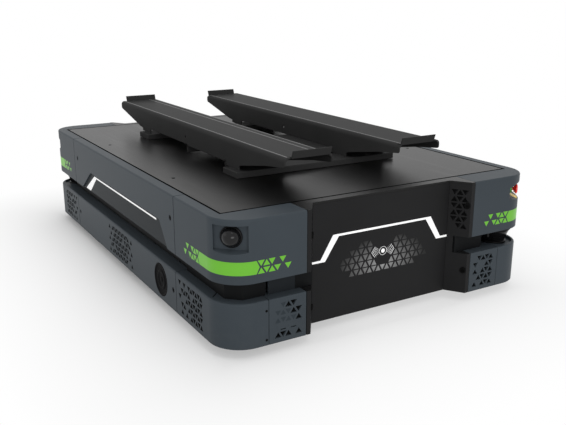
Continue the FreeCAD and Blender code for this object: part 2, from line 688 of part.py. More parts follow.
def innerParts():
    inner = S.frame_half - S.frame_sheet
    floor_low = S.frame_low + S.frame_sheet
    box("belly_plate", (-inner, -S.belly_end, floor_low), (inner, S.belly_end, floor_low + S.sheet))
    battery = newBody("battery_pack")
    plan = newSketch(battery, "plan", "XY_Plane", floor_low + S.sheet)
    rectangle(plan, (-S.battery_x, -S.battery_y), (S.battery_x, S.battery_y))
    pad(battery, plan, S.battery_tall)
    fillet(battery, 12, lambda p: near(abs(p.x), S.battery_x.value) and near(abs(p.y), S.battery_y.value))
    keep("battery_pack", battery)
    control = newBody("controller_box")
    plan = newSketch(control, "plan", "XY_Plane", S.axle_plate_low + S.axle_plate)
    rectangle(plan, (-S.control_x, S.control_near), (S.control_x, S.control_far))
    pad(control, plan, S.control_tall)
    ends = (S.control_near.value, S.control_far.value)
    fillet(control, 8, lambda p: near(abs(p.x), S.control_x.value) and any(near(p.y, end) for end in ends))
    keep("controller_box", control)
    coil = newBody("charging_coil")
    revolve(coil, [(20, 0), (S.coil_radius, 0), (S.coil_radius, 10), (20, 10)])
    placeFacing(coil, Vector(0, -(S.panel_front - S.sheet).value, S.coil_level.value), Vector(0, 1, 0))
    keep("charging_coil", coil)


def liftActuators():
    """Four upright actuators on the axle plates, each bored for its post."""
    base = S.axle_plate_low + S.axle_plate
    places = []
    for side in (-1, 1):
        for end in (-1, 1):
            body = newBody(f"actuator_{'right' if side > 0 else 'left'}_{'rear' if end > 0 else 'front'}")
            plan = newSketch(body, "plan", "XY_Plane", base)
            circle(plan, (side * S.post_x, end * S.post_y), S.actuator_radius)
            pad(body, plan, 95)
            bore = newSketch(body, "bore", "XY_Plane", base + 95)
            circle(bore, (side * S.post_x, end * S.post_y), S.post_radius + S.running)
            pocket(body, bore, 87)
            places.append(body)
    group = doc.addObject("Part::Compound", "lift_actuators")
    group.Links = places
    keep("lift_actuators", group)


# Lift

def liftRail(name, side):
    """Load rail: a folded hat of sheet, open below, whose webs stand on the two beams."""
    body = newBody(name)
    foot, web = S.beam_top, S.rail_web
    profile = newSketch(body, "profile", "YZ_Plane", side * (S.rail_inner + S.rail_outer) / 2)
    polygon(profile, [(S.rail_rear, S.rail_top), (S.rail_rear, S.nose_low), (456, web - 2), (425, web - 6),
                      (425, foot), (346, foot), (346, foot + 9), (338, web), (-297, web), (-297, foot),
                      (-380, foot), (-380, foot + 9), (-388, web), (-550, web + 30),
                      (-S.rail_front, S.nose_low), (-S.rail_front, S.rail_top)])
    pad(body, profile, S.rail_outer - S.rail_inner, midplane=True)
    for end in (S.rail_rear.value, -S.rail_front.value):
        fillet(body, 8, lambda p, at=end: near(p.y, at) and near(p.z, S.nose_low.value))
    for edge_x in (S.rail_inner, S.rail_outer):
        bend_x, bend_z = side * edge_x.value, S.rail_top.value
        fillet(body, S.rail_round, lambda p, x=bend_x, z=bend_z: near(p.x, x) and near(p.z, z))
    inside = newSketch(body, "inside", "XZ_Plane", -S.rail_rear - 5)
    low_x, high_x = side * (S.rail_inner + S.rail_sheet), side * (S.rail_outer - S.rail_sheet)
    soft = S.rail_round - S.rail_sheet
    top = S.rail_top - S.rail_sheet
    polygon(inside, [(low_x, 380), (high_x, 380), (high_x, top - soft), (high_x - side * soft, top),
                     (low_x + side * soft, top), (low_x, top - soft)])
    pocket(body, inside, S.rail_rear + S.rail_front + 10, reversed_=True)
    railTab(body, "front", side, -S.rail_front, -1)
    railTab(body, "rear", side, S.rail_rear, 1)
    hole = newSketch(body, "hole", "YZ_Plane", side * S.rail_inner)
    circle(hole, (12, S.rail_web + 24), 5)
    pocket(body, hole, 400, midplane=True)
    return keep(name, body)


def railTab(body, word, side, end, outwards):
    """Upstanding tab that stops the load: bent up from the rail's top sheet and leaning outwards."""
    thick, lean = S.rail_sheet * outwards, 8 * outwards
    low, high = S.rail_top - S.rail_sheet, S.rail_top + S.tab_high
    tab = newSketch(body, f"tab_{word}", "YZ_Plane", side * S.tab_middle)
    polygon(tab, [(end, low), (end - thick, low), (end - thick + lean, high), (end + lean, high)])
    pad(body, tab, S.tab_wide, midplane=True)
    reliefs = newSketch(body, f"relief_{word}", "XY_Plane", S.rail_top)
    for step in (-1, 1):
        near_x = side * S.tab_middle + step * S.tab_wide / 2
        rectangle(reliefs, (near_x, end - 12 * outwards), (near_x + step * 4, end + outwards))
    pocket(body, reliefs, S.rail_sheet)


def liftParts():
    for name, low_y, high_y in (("lift_beam_front", -S.beam_outer, -S.beam_inner),
                                ("lift_beam_rear", S.beam_inner, S.beam_outer)):
        body = newBody(name)
        plan = newSketch(body, "plan", "XY_Plane", S.beam_low)
        rectangle(plan, (-S.beam_half, low_y), (S.beam_half, high_y))
        pad(body, plan, S.beam_top - S.beam_low)
        fillet(body, 3, lambda p: near(p.z, S.beam_top.value))
        keep(name, body)

    tie = newBody("lift_tie_plate")
    section = newSketch(tie, "section", "YZ_Plane")
    thick = S.rail_sheet
    polygon(section, [(0, S.tie_low), (0, S.rail_web), (-S.tie_front, S.rail_web), (-S.tie_front, S.tie_low),
                      (-S.tie_front + thick, S.tie_low), (-S.tie_front + thick, S.rail_web - thick),
                      (-thick, S.rail_web - thick), (-thick, S.tie_low)])
    pad(tie, section, S.tie_half * 2, midplane=True)
    for bend in (0, -S.tie_front.value):
        fillet(tie, S.rail_round, lambda p, at=bend: near(p.y, at) and near(p.z, S.rail_web.value))
    keep("lift_tie_plate", tie)

    posts = []
    for side in (-1, 1):
        for end in (-1, 1):
            body = newBody(f"post_{'right' if side > 0 else 'left'}_{'rear' if end > 0 else 'front'}")
            plan = newSketch(body, "plan", "XY_Plane", S.axle_plate_low + S.axle_plate + 10)
            circle(plan, (side * S.post_x, end * S.post_y), S.post_radius)
            pad(body, plan, S.beam_low - (S.axle_plate_low + S.axle_plate + 10))
            posts.append(body)
    group = doc.addObject("Part::Compound", "lift_posts")
    group.Links = posts
    keep("lift_posts", group)


# Small parts

def cameraDome(name, turned):
    """Dome camera that looks out of the corner pocket: a base ring and a glossy dome."""
    body = newBody(f"{name}_turned")
    radius, rim, foot = S.dome_radius.value, S.dome_rim.value, 4
    sketch = newSketch(body, "profile", "XZ_Plane")
    outline = [Vector(0, 0, 0), Vector(radius + rim, 0, 0), Vector(radius + rim, foot, 0),
               Vector(radius + 1, foot + 2, 0), Vector(radius, foot, 0)]
    for first, second in zip(outline, outline[1:]):
        sketch.addGeometry(Part.LineSegment(first, second), False)
    dome = Part.ArcOfCircle(Part.Circle(Vector(0, foot, 0), Vector(0, 0, 1), radius), 0, math.pi / 2)
    sketch.addGeometry(dome, False)
    sketch.addGeometry(Part.LineSegment(Vector(0, foot + radius, 0), Vector(0, 0, 0)), False)
    feature = body.newObject("PartDesign::Revolution", f"{name}_revolve")
    feature.Profile = sketch
    feature.ReferenceAxis = (sketch, ["V_Axis"])
    feature.Angle = 360
    doc.recompute()
    seat = (S.corner_radius - S.camera_depth).value
    return placeOnCorner(name, body, seat, S.camera_level.value, turned, -1, S.camera_turn.value)


def placeOnCorner(name, body, seat, level, turned, side, turn):
    placeFacing(body, cornerPoint(side, turn, seat, level), cornerDirection(side, turn))
    return settle(name, body, body.Placement, turned)


def stopButton(base_name, button_name, turned):
    """Emergency stop: a collar on the pocket's floor and a mushroom head that pushes in on its stem."""
    base = newBody(f"{base_name}_turned")
    stem, collar, tall, flange = 5, S.collar_radius, 8, 2.5
    revolve(base, [(stem + S.running, 0), (S.estop_floor / 2 - 1, 0), (S.estop_floor / 2 - 1, flange),
                   (collar, flange), (collar, tall - 1), (collar - 1, tall), (stem + S.running, tall)])
    seat = (S.corner_radius - S.estop_depth).value
    placeOnCorner(base_name, base, seat, S.estop_level.value, turned, 1, STOP_TURN)
    head = newBody(f"{button_name}_turned")
    low, rim = tall + S.button_press + 1, S.button_radius
    revolve(head, [(0, 5), (stem, 5), (stem, low), (rim - 5, low), (rim - 4, low + 3), (rim, low + 6),
                   (rim, low + 9), (rim - 2, low + 11), (rim - 6, low + 12), (0, low + 12.5)])
    placeOnCorner(button_name, head, seat, S.estop_level.value, turned, 1, STOP_TURN)


def scanner(name, turned):
    """Safety laser scanner: a foot in the dish, a waist and a wide head right under the cover."""
    body = newBody(f"{name}_turned")
    low = S.bumper_top - S.dish_depth
    tall = S.cover_bottom - low - 0.5
    revolve(body, [(0, 0), (38, 0), (38, 7), (30, 9), (30, 42), (47, 42), (50, 46), (50, tall), (0, tall)])
    place = Vector(S.scanner_x.value, -S.scanner_y.value, low.value)
    settle(name, body, Placement(place, Rotation()), turned)


def scannerWindows():
    """The flared window rings that the two scanners look through."""
    rings = []
    low = (S.bumper_top - S.dish_depth).value
    for turned in (False, True):
        body = newBody(f"window_{'rear' if turned else 'front'}")
        revolve(body, [(30.2, 10), (35, 10), (46, 41.5), (30.2, 41.5)])
        body.Placement = Placement(Vector(S.scanner_x.value, -S.scanner_y.value, low), Rotation())
        if turned:
            body.Placement = Placement(Vector(), TURN_HALF).multiply(body.Placement)
        rings.append(body)
    group = doc.addObject("Part::Compound", "scanner_windows")
    group.Links = rings
    keep("scanner_windows", group)


def speakers():
    """The round sounders in both skirts: rim, cone and hub."""
    rounds = []
    for turned in (False, True):
        body = newBody(f"sounder_{'right' if turned else 'left'}")
        radius = S.speaker_radius
        revolve(body, [(0, 0), (radius, 0), (radius, 4), (radius - 4, 4.8), (radius - 8, 2), (30, 1.2),
                       (27, 3.6), (23, 3.6), (18, 1.4), (9, 1.4), (6, 3.4), (0, 3.8)])
        place = Vector(-(S.half_width - 4).value, -S.speaker_y.value, S.side_level.value)
        placeFacing(body, place, Vector(-1, 0, 0))
        if turned:
            body.Placement = Placement(Vector(), TURN_HALF).multiply(body.Placement)
        rounds.append(body)
    group = doc.addObject("Part::Compound", "sounders")
    group.Links = rounds
    keep("sounders", group)


def coverScrews():
    """Countersunk heads that hold the side covers and the slanted infills."""
    heads = []

    def head(name, place, direction, radius, tall):
        item = doc.addObject("Part::Cylinder", name)
        item.setExpression("Radius", radius.text)
        item.Height = tall
        item.Placement = Placement(place, Rotation(Vector(0, 0, 1), direction))
        heads.append(item)

    side_x, tall = S.half_width.value - 4, 3.6
    for number, (along, level) in enumerate(COVER_SCREWS + SKIRT_SCREWS):
        head(f"screw_left_{number}", Vector(-side_x, along, level), Vector(-1, 0, 0), S.screw_radius, tall)
        head(f"screw_right_{number}", Vector(side_x, -along, level), Vector(1, 0, 0), S.screw_radius, tall)
    run = S.flange_inner.value - S.panel_half.value
    rise = S.half_length.value - S.panel_front.value
    inset = 0.15
    for side in (-1, 1):
        for end in (-1, 1):
            normal = Vector(-side * rise, end * run, 0).normalize()
            middle = Vector(side * (S.flange_inner.value - run * inset),
                            end * (S.half_length.value - rise * inset), 0)
            for number, level in enumerate((S.bolt_high.value, S.bolt_low.value)):
                head(f"bolt_{number}_{side + 1}_{end + 1}", middle + Vector(0, 0, level) + normal * 0.05,
                     normal, S.bolt_radius, 5)
    group = doc.addObject("Part::Compound", "cover_screws")
    group.Links = heads
    keep("cover_screws", group)


# Wheels

def driveUnit(fork_name, wheel_name, turned):
    """Steered drive unit: turntable with kingpin, two cheeks, axle and motor, and the wheel itself."""
    fork = newBody(f"{fork_name}_made")
    half = S.drive_width / 2
    cheek_low, cheek_top, table_top = 62, 224, S.axle_plate_low - S.table_gap
    for word, low_x, high_x in (("left", -(half + 15), -(half + 3)), ("right", half + 3, half + 15)):
        sketch = newSketch(fork, f"cheek_{word}", "YZ_Plane", low_x)
        polygon(sketch, [(-36, cheek_low), (36, cheek_low), (58, cheek_top), (-58, cheek_top)])
        pad(fork, sketch, 12)
        if word == "left":
            table = newSketch(fork, "table", "XY_Plane", cheek_top)
            circle(table, (0, 0), 88)
            pad(fork, table, table_top - cheek_top)
    pin_ = newSketch(fork, "kingpin", "XY_Plane", cheek_top)
    circle(pin_, (0, 0), S.kingpin_radius)
    pad(fork, pin_, S.axle_plate_low + S.axle_plate + 8 - cheek_top)
    axle = newSketch(fork, "axle", "YZ_Plane", -(half + 15))
    circle(axle, (0, S.drive_radius), 12.5)
    pad(fork, axle, S.drive_width + 30)
    motor = newSketch(fork, "motor", "YZ_Plane", half + 14)
    circle(motor, (0, S.drive_radius), 40)
    pad(fork, motor, 92)
    wheel = newBody(f"{wheel_name}_made")
    bore = 12.5 + S.running
    revolve(wheel, [(bore, -half), (30, -half), (34, -half + 10), (70, -half + 14), (76, -half),
                    (S.drive_radius - 5, -half), (S.drive_radius, -half + 5), (S.drive_radius, half - 5),
                    (S.drive_radius - 5, half), (76, half), (70, half - 14), (34, half - 10), (30, half),
                    (bore, half)])
    place = Vector(S.drive_x.value, -S.drive_y.value, 0)
    settle(fork_name, fork, Placement(place, Rotation()), turned)
    settle(wheel_name, wheel, Placement(place + Vector(0, 0, S.drive_radius.value),
                                        Rotation(Vector(0, 0, 1), Vector(1, 0, 0))), turned)


def casterUnit(fork_name, wheel_name, turned):
    """Swivel caster: top plate with its pin, two cheeks that trail back to the axle, and the wheel."""
    fork = newBody(f"{fork_name}_made")
    half, trail, centre = S.caster_width / 2, S.caster_trail, S.caster_radius
    table_top = S.axle_plate_low - S.table_gap
    for word, low_x in (("left", -(half + 8)), ("right", half + 2)):
        sketch = newSketch(fork, f"cheek_{word}", "YZ_Plane", low_x)
        polygon(sketch, [(-42, table_top - 10), (-30, table_top - 60), (trail - 20, centre + 4),
                         (trail - 12, centre - 18), (trail + 12, centre - 18), (trail + 20, centre + 4),
                         (46, table_top - 10)])
        pad(fork, sketch, 6)
        if word == "left":
            plate = newSketch(fork, "plate", "XY_Plane", table_top - 10)
            circle(plate, (0, 0), 52)
            pad(fork, plate, 10)
    pin_ = newSketch(fork, "pin", "XY_Plane", table_top - 10)
    circle(pin_, (0, 0), S.swivel_radius)
    pad(fork, pin_, S.axle_plate + 18)
    axle = newSketch(fork, "axle", "YZ_Plane", -(half + 8))
    circle(axle, (trail, centre), 8)
    pad(fork, axle, S.caster_width + 16)
    wheel = newBody(f"{wheel_name}_made")
    bore = 8 + S.running
    revolve(wheel, [(bore, -half), (20, -half), (24, -half + 6), (50, -half + 8), (55, -half),
                    (S.caster_radius - 4, -half), (S.caster_radius, -half + 4), (S.caster_radius, half - 4),
                    (S.caster_radius - 4, half), (55, half), (50, half - 8), (24, half - 6), (20, half),
                    (bore, half)])
    place = Vector(-S.caster_x.value, -S.caster_y.value, 0)
    settle(fork_name, fork, Placement(place, Rotation()), turned)
    settle(wheel_name, wheel, Placement(place + Vector(0, trail.value, centre.value),
                                        Rotation(Vector(0, 0, 1), Vector(1, 0, 0))), turned)


def settle(name, body, place, turned):
    """Stands a finished body at its place, or at that place after the half turn."""
    body.Placement = Placement(Vector(), TURN_HALF).multiply(place) if turned else place
    body.Label = name
    nodes[name] = body
    return body


# The whole vehicle

for suffix, turned in (("front", False), ("rear", True)):
    left, right = ("left", "right") if not turned else ("right", "left")
    cornerCap(f"cap_{suffix}_{left}", -1, "camera", turned)
    cornerCap(f"cap_{suffix}_{right}", 1, "stop", turned)
    cornerBumper(f"bumper_{suffix}_{left}", -1, False, turned)
    cornerBumper(f"bumper_{suffix}_{right}", 1, True, turned)
    upperCover(f"upper_cover_{left}", turned)
    sideSkirt(f"skirt_{left}", turned)
    ventCovers(f"vent_covers_{suffix}", turned)
    bayInfill(f"bay_infill_{suffix}", turned)
    bayHeader(f"bay_header_{suffix}", turned)
    bayPanel("charging_panel" if not turned else "service_panel", turned)
    sideBeam(f"frame_beam_{left}", turned)
    endCross(f"frame_cross_{suffix}", turned)
    axlePlate(f"axle_plate_{suffix}", turned)
    cameraDome(f"camera_dome_{suffix}", turned)
    stopButton(f"stop_base_{suffix}", f"stop_button_{suffix}", turned)
    scanner(f"scanner_{suffix}", turned)
    driveUnit(f"drive_fork_{suffix}", f"drive_wheel_{suffix}", turned)
    casterUnit(f"caster_fork_{suffix}", f"caster_wheel_{suffix}", turned)
    lenses = doc.addObject("Part::Compound", f"lenses_{suffix}")
    lenses.Links = [lightStrip(f"lens_{suffix}_{left}", -1), lightStrip(f"lens_{suffix}_{right}", 1)]
    keep(f"light_strips_{suffix}", lenses, turned)

topDeck()
innerParts()
liftActuators()
liftRail("rail_left", -1)
liftRail("rail_right", 1)
liftParts()
scannerWindows()
speakers()
coverScrews()
doc.recompute()

for item in doc.Objects:
    if "Invalid" in item.State or "Error" in item.State:
        raise RuntimeError(f"{item.Name} failed: {item.State}")
for name, item in nodes.items():
    if item.Shape.isNull() or not item.Shape.isValid() or not item.Shape.Solids:
        raise RuntimeError(f"{name} has no valid shape")
for name, item in nodes.items():
    item.Shape.exportStep(f"parts/{name}.step")
print(len(nodes), "pieces written")
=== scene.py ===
# Looks of a low mobile robot with two load rails on a lifting top.
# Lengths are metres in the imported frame: +Z up, the charging bay faces -Y.
import bpy, json, math
import numpy as np
from mathutils import Matrix, Vector


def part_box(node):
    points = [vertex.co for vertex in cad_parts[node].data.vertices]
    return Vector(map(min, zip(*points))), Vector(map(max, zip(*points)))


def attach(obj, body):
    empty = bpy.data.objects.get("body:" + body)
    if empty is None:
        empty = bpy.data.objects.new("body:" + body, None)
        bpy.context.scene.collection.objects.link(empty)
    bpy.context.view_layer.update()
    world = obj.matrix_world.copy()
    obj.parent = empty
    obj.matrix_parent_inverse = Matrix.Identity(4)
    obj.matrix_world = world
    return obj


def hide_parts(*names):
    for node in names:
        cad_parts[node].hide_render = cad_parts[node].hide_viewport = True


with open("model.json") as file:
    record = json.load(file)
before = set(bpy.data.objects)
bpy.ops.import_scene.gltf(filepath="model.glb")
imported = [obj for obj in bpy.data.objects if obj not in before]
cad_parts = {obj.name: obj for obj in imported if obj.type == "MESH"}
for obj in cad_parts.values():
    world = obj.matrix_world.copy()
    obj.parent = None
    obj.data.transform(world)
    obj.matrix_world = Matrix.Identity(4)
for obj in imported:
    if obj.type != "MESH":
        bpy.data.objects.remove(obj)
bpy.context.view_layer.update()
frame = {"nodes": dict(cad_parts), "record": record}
nodes = frame["nodes"]
print("frame loaded:", len(nodes), "nodes")


class Wire:
    # one socket of a node tree; sums and products on it add Math nodes
    def __init__(self, tree, socket):
        self.tree, self.socket = tree, socket

    def maths(self, operation, *values):
        node = self.tree.nodes.new("ShaderNodeMath")
        node.operation = operation
        for place, value in zip(node.inputs, values):
            if isinstance(value, Wire):
                self.tree.links.new(value.socket, place)
            else:
                place.default_value = value
        return Wire(self.tree, node.outputs[0])

    def __add__(self, other):
        return self.maths("ADD", self, other)

    def __radd__(self, other):
        return self.maths("ADD", other, self)

    def __sub__(self, other):
        return self.maths("SUBTRACT", self, other)

    def __rsub__(self, other):
        return self.maths("SUBTRACT", other, self)

    def __mul__(self, other):
        return self.maths("MULTIPLY", self, other)

    def __rmul__(self, other):
        return self.maths("MULTIPLY", other, self)

    def __truediv__(self, other):
        return self.maths("DIVIDE", self, other)

    def __rtruediv__(self, other):
        return self.maths("DIVIDE", other, self)

    def __abs__(self):
        return self.maths("ABSOLUTE", self)

    def power(self, exponent):
        return self.maths("POWER", self, exponent)

    def biggest(self, other):
        return self.maths("MAXIMUM", self, other)

    def ramp(self, low, high):
        # climbs evenly from 0 at low to 1 at high
        return self.maths("MINIMUM", ((self - low) / (high - low)).biggest(0.0), 1.0)


class Finish:
    # a material under construction: one shader and what feeds it
    def __init__(self, name, look):
        self.colour = look["colour"]
        self.material = bpy.data.materials.new(name)
        self.material.use_nodes = True
        self.tree = self.material.node_tree
        self.shader = self.tree.nodes["Principled BSDF"]
        self.set("Base Color", (*self.colour, 1.0))
        self.set("Roughness", look["roughness"])
        self.set("Metallic", look.get("metallic", 0.0))
        self.set("Coat Weight", look.get("coat", 0.0))
        self.set("Coat Roughness", look.get("coatRoughness", 0.1))
        self.set("Specular IOR Level", look.get("specular", 0.5))

    def set(self, name, value):
        socket = self.shader.inputs[name]
        if isinstance(value, Wire):
            self.tree.links.new(value.socket, socket)
        else:
            socket.default_value = value

    def node(self, kind, settings=None, sockets=None, out=0):
        node = self.tree.nodes.new(kind)
        for key, value in (settings or {}).items():
            setattr(node, key, value)
        for key, value in (sockets or {}).items():
            if isinstance(value, Wire):
                self.tree.links.new(value.socket, node.inputs[key])
            else:
                node.inputs[key].default_value = value
        return Wire(self.tree, node.outputs[out])

    def point(self):
        return self.node("ShaderNodeTexCoord", out="Object")

    def axes(self):
        split = self.tree.nodes.new("ShaderNodeSeparateXYZ")
        self.tree.links.new(self.point().socket, split.inputs[0])
        return [Wire(self.tree, output) for output in split.outputs]

    def noise(self, scale, detail=3.0, roughness=0.5, stretch=None):
        place = self.point()
        if stretch:
            place = self.node("ShaderNodeMapping", sockets={"Vector": place, "Scale": stretch}, out="Vector")
        return self.node("ShaderNodeTexNoise",
                         sockets={"Vector": place, "Scale": scale, "Detail": detail, "Roughness": roughness})

    def mix(self, share, first, second):
        def colour(value):
            return value if isinstance(value, Wire) else (*value, 1.0)
        return self.node("ShaderNodeMix", {"data_type": "RGBA"},
                         {0: share, 6: colour(first), 7: colour(second)}, out=2)

    def shades(self, share, darker, lighter):
        # the finish's own colour between a darker and a lighter shade of it
        return self.mix(share, tuple(part * darker for part in self.colour),
                        tuple(part * lighter for part in self.colour))

    def clouded(self, cloud, darker, lighter):
        self.set("Base Color", self.shades(cloud.ramp(0.3, 0.7), darker, lighter))

    def relief(self, height, strength, distance, rounded=0.0):
        sockets = {"Height": height, "Strength": strength, "Distance": distance}
        if rounded:
            sockets["Normal"] = self.node("ShaderNodeBevel", {"samples": 6}, {"Radius": rounded})
        self.set("Normal", self.node("ShaderNodeBump", sockets=sockets))


coverPaint = {"colour": (0.045, 0.055, 0.064), "roughness": 0.42, "specular": 0.07,
              "dust": 0.04, "dustColour": (0.21, 0.205, 0.19), "dustHeights": (0.03, 0.16)}


def makeCoverPaint():
    # satin slate paint: fine orange peel, slightly uneven gloss, a breath of dust towards the floor
    look = coverPaint
    paint = Finish("cover_paint", look)
    z = paint.axes()[2]
    cloud = paint.noise(3.1, 4.0)
    specks = paint.noise(38.0, 5.0, 0.65).ramp(0.42, 0.75)
    dust = (1.0 - z.ramp(*look["dustHeights"])) * specks * look["dust"]
    tone = paint.shades(cloud.ramp(0.3, 0.7), 0.94, 1.06)
    paint.set("Base Color", paint.mix(dust, tone, look["dustColour"]))
    paint.set("Roughness", look["roughness"] - 0.03 + cloud * 0.06 + dust * 0.6)
    paint.relief(paint.noise(520.0, 2.0) + paint.noise(180.0, 3.0) * 0.6, 0.08, 0.0004, rounded=0.0014)
    return paint.material


deckCoat = {"colour": (0.009, 0.009, 0.009), "roughness": 0.32, "specular": 0.15}


def makeDeckCoat():
    # dark deck plate: fine textured powder coat with faint rubbed tracks along the travel of the loads
    look = deckCoat
    coat = Finish("deck_coat", look)
    cloud = coat.noise(2.0, 5.0, 0.6)
    tracks = coat.noise(34.0, 4.0, 0.6, stretch=(1.0, 0.06, 1.0)).ramp(0.56, 0.74)
    coat.clouded(cloud, 0.9, 1.12)
    coat.set("Roughness", look["roughness"] - 0.02 + cloud * 0.06 - tracks * 0.03)
    coat.relief(coat.noise(1400.0, 2.0), 0.15, 0.0004, rounded=0.0008)
    return coat.material


blackCoats = {
    "infill_coat": {"colour": (0.0095, 0.0095, 0.010), "roughness": 0.44, "specular": 0.12},
    "frame_coat": {"colour": (0.011, 0.0115, 0.012), "roughness": 0.46, "specular": 0.2},
    # near-black that paints the deep shade on the slot's walls, which are partly dark in themselves
    "slot_lining": {"colour": (0.006, 0.0065, 0.007), "roughness": 0.50, "specular": 0.06}}


def makeBlackSheet(name, look):
    # powder coated black sheet: fine grain and a soft cloud in the gloss
    coat = Finish(name, look)
    cloud = coat.noise(5.0, 4.0)
    coat.clouded(cloud, 0.88, 1.14)
    coat.set("Roughness", look["roughness"] - 0.04 + cloud * 0.09)
    coat.relief(coat.noise(1100.0, 2.0), 0.14, 0.0004, rounded=0.0012)
    return coat.material


railCoat = {"colour": (0.031, 0.031, 0.031), "roughness": 0.38, "specular": 0.009,
            "rubbed": (0.05, 0.05, 0.05), "loadHeights": (0.474, 0.4754)}


def makeRailCoat():
    # black powder coat on folded sheet, rubbed a little brighter along the load faces
    look = railCoat
    coat = Finish("rail_coat", look)
    z = coat.axes()[2]
    cloud = coat.noise(4.0, 4.0)
    streaks = coat.noise(60.0, 5.0, 0.7, stretch=(1.0, 0.05, 1.0)).ramp(0.60, 0.80)
    scuffs = streaks * z.ramp(*look["loadHeights"])
    tone = coat.shades(cloud.ramp(0.3, 0.7), 0.9, 1.15)
    coat.set("Base Color", coat.mix(scuffs * 0.25, tone, look["rubbed"]))
    coat.set("Roughness", look["roughness"] + cloud * 0.06 + scuffs * 0.08)
    coat.relief(coat.noise(1000.0, 2.0), 0.12, 0.0004, rounded=0.0010)
    return coat.material


lampGreen = {"colour": (0.11, 0.36, 0.022), "roughness": 0.35, "specular": 0.3,
             "glow": 0.24, "middle": 0.2465}


def makeLamp():
    # green diffuser lit from inside, a little brighter along its middle
    look = lampGreen
    lamp = Finish("lamp_green", look)
    z = lamp.axes()[2]
    middle = 1.0 - abs(z - look["middle"]).ramp(0.004, 0.022)
    lamp.set("Emission Color", lamp.shades(middle * 0.5, 0.9, 1.3))
    lamp.set("Emission Strength", look["glow"])
    lamp.relief(lamp.noise(700.0, 2.0), 0.06, 0.0003)
    return lamp.material


glossLooks = {
    "smoked_glass": {"colour": (0.006, 0.006, 0.0065), "roughness": 0.03, "specular": 0.25},
    "button_red": {"colour": (0.78, 0.020, 0.012), "roughness": 0.26, "coat": 0.2, "coatRoughness": 0.03}}


def makeGloss(name, look):
    # smooth glossy moulding with a faint flow in its surface
    gloss = Finish(name, look)
    gloss.set("Roughness", look["roughness"] + gloss.noise(9.0, 3.0) * 0.05)
    gloss.relief(gloss.noise(60.0, 2.0), 0.02, 0.0003)
    return gloss.material


mouldings = {
    "scanner_moulding": {"colour": (0.007, 0.007, 0.0075), "roughness": 0.38, "specular": 0.12},
    "screw_black": {"colour": (0.005, 0.005, 0.005), "roughness": 0.50, "specular": 0.02},
    "sounder_moulding": {"colour": (0.008, 0.008, 0.0085), "roughness": 0.55, "specular": 0.02},
    # a darker cover colour that paints the deep shade on the bay's screen
    "screen_paint": {"colour": (0.018, 0.021, 0.024), "roughness": 0.50, "specular": 0.04},
    # pale grey for the lines that paint the highlight along the rails' bends
    "rubbed_edge": {"colour": (0.13, 0.13, 0.13), "roughness": 0.40, "specular": 0.2},
    # darker than the cover: it paints the shade of a shallow relief of triangles
    "shallow_print": {"colour": (0.030, 0.038, 0.045), "roughness": 0.45, "specular": 0.07},
    "coil_resin": {"colour": (0.09, 0.09, 0.09), "roughness": 0.50, "specular": 0.4},
    # the white prints glow a little: painted light that keeps them brighter than the lamps make them
    "printed_white": {"colour": (0.88, 0.88, 0.88), "roughness": 0.45, "specular": 0.3, "glow": 0.25},
    "name_film": {"colour": (0.022, 0.026, 0.029), "roughness": 0.42, "specular": 0.04},
    "label_yellow": {"colour": (0.80, 0.60, 0.08), "roughness": 0.40, "specular": 0.4},
    "ring_green": {"colour": (0.10, 0.40, 0.05), "roughness": 0.40, "specular": 0.4},
    "seal_rubber": {"colour": (0.003, 0.003, 0.003), "roughness": 0.80, "specular": 0.0}}


def makeMoulding(name, look):
    # moulded or printed surface with a fine even texture; a glow given to a print is painted light, as a
    # print is no lamp
    moulding = Finish(name, look)
    cloud = moulding.noise(14.0, 4.0)
    moulding.clouded(cloud, 0.94, 1.06)
    moulding.set("Roughness", look["roughness"] - 0.03 + cloud * 0.06)
    moulding.relief(moulding.noise(1500.0, 2.0), 0.12, 0.0003, rounded=0.0004)
    if "glow" in look:
        moulding.set("Emission Color", (*look["colour"], 1.0))
        moulding.set("Emission Strength", look["glow"])
    return moulding.material


patternFade = {"colour": (0.34, 0.34, 0.34), "roughness": 0.5, "specular": 0.22,
               "dark": (0.013, 0.013, 0.013), "level": 0.163, "wide": 0.150, "tall": 0.080}


def makePatternFilm():
    # grey print that fades outwards: the distance is measured as in an ellipse about the sign's foot
    look = patternFade
    film = Finish("printed_grey", look)
    x, _, z = film.axes()
    across, up = x / look["wide"], (z - look["level"]) / look["tall"]
    distance = (across * across + up * up).power(0.5)
    film.set("Base Color", film.mix(distance.ramp(0.05, 1.0).power(0.6), look["colour"], look["dark"]))
    film.set("Roughness", look["roughness"] - 0.02 + film.noise(20.0, 3.0) * 0.06)
    return film.material


foamLook = {"colour": (0.004, 0.004, 0.004), "roughness": 0.95, "specular": 0.05, "cell": 900.0}


def makeFoam():
    # black open foam
    look = foamLook
    foam = Finish("filter_foam", look)
    cells = foam.noise(look["cell"], 2.0)
    foam.set("Base Color", foam.shades(cells, 0.6, 1.5))
    foam.relief(cells, 0.4, 0.0006)
    return foam.material


metals = {
    "fork_plating": {"colour": (0.40, 0.41, 0.42), "roughness": 0.36, "metallic": 1.0, "drawn": 0.1},
    "actuator_alloy": {"colour": (0.55, 0.56, 0.58), "roughness": 0.34, "metallic": 1.0, "drawn": 0.05}}


def makeMetal(name, look):
    # plated or turned metal with drawn lines
    metal = Finish(name, look)
    lines = metal.noise(420.0, 3.0, 0.6, stretch=(1.0, 1.0, look["drawn"]))
    metal.set("Roughness", look["roughness"] - 0.06 + lines * 0.16)
    metal.relief(lines, 0.1, 0.0002, rounded=0.0008)
    return metal.material


treadRubber = {"colour": (0.045, 0.045, 0.047), "roughness": 0.62, "dust": (0.12, 0.115, 0.105)}


